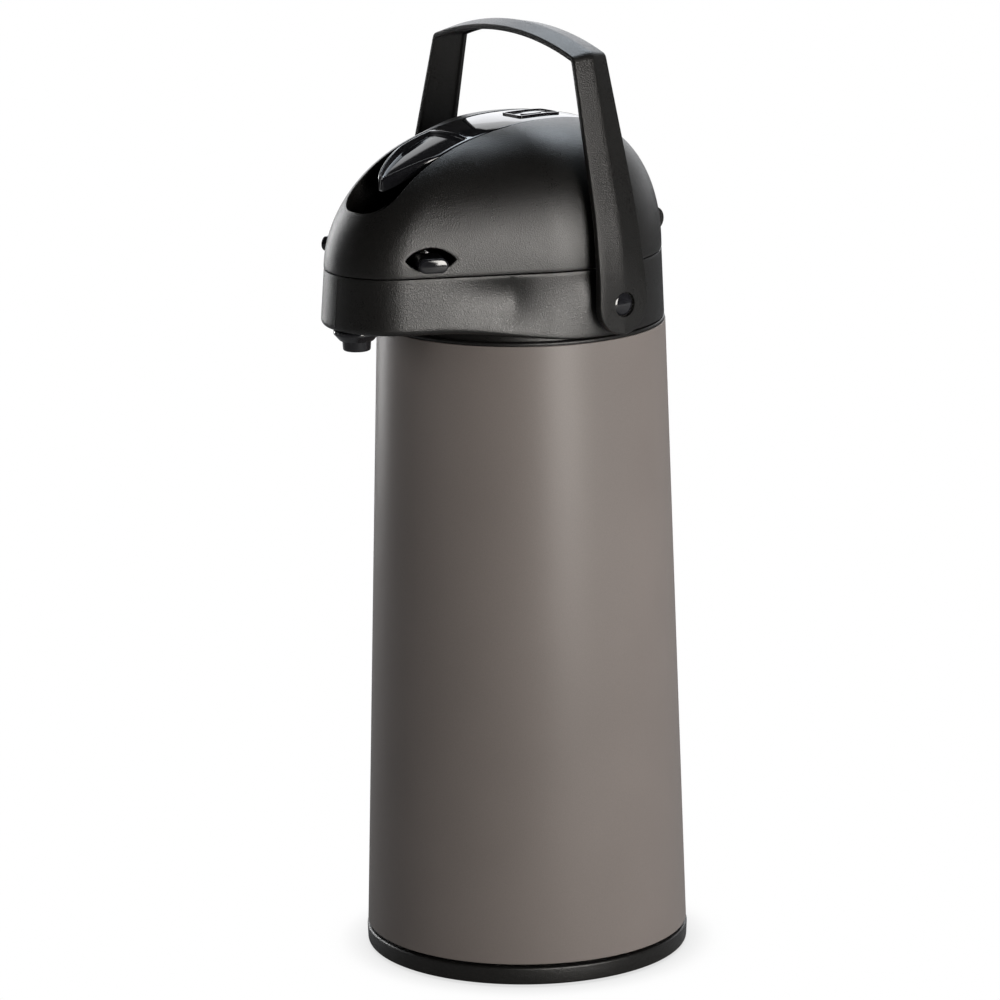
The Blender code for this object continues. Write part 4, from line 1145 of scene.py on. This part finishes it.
def build_handle():
    sections = []
    for angle in (-86, -80, -72, -63, -54, -45, -36, -27, -18, -9):
        drop = HANDLE_END_RADIUS * math.sin(math.radians(angle))
        half = HANDLE_END_RADIUS * math.cos(math.radians(angle))
        sections.append(strap_section(HANDLE_OUTER_X, PIVOT_Z + drop, 0.0, half))
    for x, z, lean in handle_path(16, 24):
        rise = min((z - PIVOT_Z) / 100.0, 1.0)
        half = HANDLE_END_RADIUS + (HANDLE_TOP_HALF_WIDTH - HANDLE_END_RADIUS) * rise
        sections.append(strap_section(x, z, lean, half))
    mirrored = [[(-x, y, z) for x, y, z in section] for section in sections[:-1]]
    handle = loft("handle", sections + mirrored[::-1])
    added = []
    removed = []
    for side in (-1, 1):
        face = Vector((side * (HANDLE_OUTER_X - 1.9), 0, PIVOT_Z))
        outer = Vector((side * 75.0, 0, PIVOT_Z))
        added.append(cylinder(f"pad{side}", 7.4, face - Vector((side * 1.7, 0, 0)), face))
        removed.append(cylinder(f"hole{side}", PIVOT_HOLE_RADIUS, (side * 60.0, 0, PIVOT_Z), outer))
        removed.append(cylinder(f"recess{side}", 5.3, face, outer))
    boolean(handle, "UNION", *added)
    boolean(handle, "DIFFERENCE", *removed)
    handle.name = "handle_fine"
    place(handle, "handle", "textured_plastic", "carry_handle", sharp=30)


def build_handle_pin(side):
    head_back = HANDLE_OUTER_X - 1.85
    turns = [math.radians(9 * i) for i in range(10)]
    crown = [(PIN_HEAD_RADIUS * math.cos(t), head_back + 0.3 + 1.1 * math.sin(t)) for t in turns]
    profile = [(0, 59.0), (2.9, 59.0), (2.9, head_back), (PIN_HEAD_RADIUS, head_back)]
    profile += crown[:-1] + [(0, head_back + 1.4)]
    name = "left" if side < 0 else "right"
    pin = turned("pivot_pin_fine_" + name, profile, 64)
    turn = Matrix.Rotation(side * math.pi / 2, 4, "Y")
    pin.data.transform(Matrix.Translation((0, 0, PIVOT_Z)) @ turn)
    place(pin, "pot", "gloss_plastic", "handle_pin_" + name)


# ---------------------------------------------------------------- studio


def direction(azimuth, elevation):
    """From the object towards a place in the room; azimuth 0 is in front of the spout."""
    a = math.radians(azimuth)
    e = math.radians(elevation)
    return Vector((math.sin(a) * math.cos(e), -math.cos(a) * math.cos(e), math.sin(e)))


def area_light(
    name, azimuth, elevation, distance, width, height, power, colour=(1.0, 1.0, 1.0), mirrored=True
):
    """A softbox that faces the middle of the object; mirrored is whether glossy surfaces show it."""
    data = bpy.data.lights.new(name, "AREA")
    data.shape = "RECTANGLE"
    data.size = width
    data.size_y = height
    data.energy = power
    data.color = colour
    light = bpy.data.objects.new(name, data)
    light.visible_glossy = mirrored
    bpy.context.scene.collection.objects.link(light)
    back = direction(azimuth, elevation)
    light.location = Vector((0, 0, 0.24)) + back * distance
    light.rotation_euler = back.to_track_quat("Z", "Y").to_euler()


def seen_by_camera(g, target, seen, unseen):
    """Shows one shader to the camera and lets the other light the object."""
    path = g.add("ShaderNodeLightPath")
    mix = g.add("ShaderNodeMixShader")
    g.link(path.outputs["Is Camera Ray"], mix.inputs[0])
    g.link(unseen, mix.inputs[1])
    g.link(seen, mix.inputs[2])
    g.link(mix.outputs[0], target)


def floor_material():
    """A white sheet with a soft shadow close to the base, and a duller one for the light it throws back."""
    g = Graph("pale_floor")
    soft = g.noise(3.0, 2.0)
    tone = g.ramp(soft, [(0.3, (0.21, 0.21, 0.21)), (0.7, (0.25, 0.25, 0.25))])
    g.set(base_color=tone, roughness=0.7, specular_ior_level=0.2)
    # painted shadow: ambient occlusion dims the floor's glow close to the base
    painted_shadow_ao = g.add("ShaderNodeAmbientOcclusion", samples=8)
    painted_shadow_ao.inputs["Distance"].default_value = 0.022
    glow = g.add("ShaderNodeEmission")
    g.link(g.spread(painted_shadow_ao.outputs["AO"], 0.3, 0.9, 0.72, 1.0), glow.inputs["Strength"])
    output = g.tree.nodes["Material Output"]
    seen_by_camera(g, output.inputs["Surface"], glow.outputs[0], g.shader.outputs[0])
    return g.material


def build_floor():
    bm = bmesh.new()
    bmesh.ops.create_grid(bm, x_segments=8, y_segments=8, size=6.0)
    bmesh.ops.translate(bm, vec=(0, 0, -0.0006), verts=bm.verts)
    mesh = bpy.data.meshes.new("floor")
    bm.to_mesh(mesh)
    bm.free()
    mesh.materials.append(floor_material())
    floor = bpy.data.objects.new("floor", mesh)
    bpy.context.scene.collection.objects.link(floor)


class WorldGraph(Graph):
    """The same node helpers on the world's own tree."""

    def __init__(self, world):
        world.use_nodes = True
        self.tree = world.node_tree
        self.coords = self.add("ShaderNodeTexCoord").outputs["Generated"]


def build_world():
    """White for the camera; for everything else a dim room with a bright sheet behind the object."""
    world = bpy.data.worlds.new("studio")
    bpy.context.scene.world = world
    g = WorldGraph(world)
    toward = g.add("ShaderNodeVectorMath", operation="DOT_PRODUCT")
    g.link(g.coords, toward.inputs[0])
    toward.inputs[1].default_value = -direction(VIEW_AZIMUTH, 0.0)
    across = g.spread(toward.outputs["Value"], 0.34, 1.0, 0.0, 1.0)
    split = g.add("ShaderNodeSeparateXYZ")
    g.link(g.coords, split.inputs[0])
    below_top = g.spread(split.outputs["Z"], 0.50, 0.53, 1.0, 0.0)
    sheet = g.combine("MULTIPLY", across, below_top)
    strength = g.spread(sheet, 0.0, 1.0, 0.03, 1.4)
    room = g.tree.nodes["Background"]
    g.link(strength, room.inputs["Strength"])
    room.inputs["Color"].default_value = (0.97, 0.98, 1.0, 1.0)
    white = g.add("ShaderNodeBackground")
    output = g.tree.nodes["World Output"]
    seen_by_camera(g, output.inputs["Surface"], white.outputs[0], room.outputs[0])


def build_camera():
    back = direction(VIEW_AZIMUTH, VIEW_ELEVATION)
    data = bpy.data.cameras.new("camera")
    data.sensor_width = 36.0
    data.lens = 186.4
    data.shift_x = -0.0229
    camera = bpy.data.objects.new("camera", data)
    bpy.context.scene.collection.objects.link(camera)
    aim = Vector((0, 0, 0.1974))
    roll = Matrix.Rotation(math.radians(-0.59), 4, "Z")
    turn = back.to_track_quat("Z", "Y").to_matrix().to_4x4()
    camera.matrix_world = Matrix.Translation(aim + back * 2.24) @ turn @ roll
    bpy.context.scene.camera = camera


def build_studio():
    build_floor()
    build_world()
    build_camera()
    area_light("key", 84, 7, 1.6, 0.7, 0.75, 26, (1.0, 0.965, 0.92))
    area_light("side", 126, 8, 1.6, 1.6, 1.0, 28, mirrored=False)
    area_light("rim", -50, 5, 1.5, 0.12, 1.2, 0.6)
    area_light("edge", -88, 5, 1.5, 0.3, 1.3, 9)
    area_light("top", -140, 54, 1.4, 0.9, 0.7, 9, (0.84, 0.92, 1.0))
    area_light("window", -128, 16, 1.5, 0.8, 0.35, 0.5, (0.93, 0.94, 1.0))
    area_light("fill", -20, 12, 2.4, 1.2, 1.4, 16, mirrored=False)
    bpy.context.scene.view_settings.view_transform = "Standard"


dress_cad_nodes()
build_body()
build_mouth()
build_collar()
build_lid()
build_lever()
build_label_plate()
for side in (-1, 1):
    build_button(side)
    build_handle_pin(side)
build_handle()
build_studio()
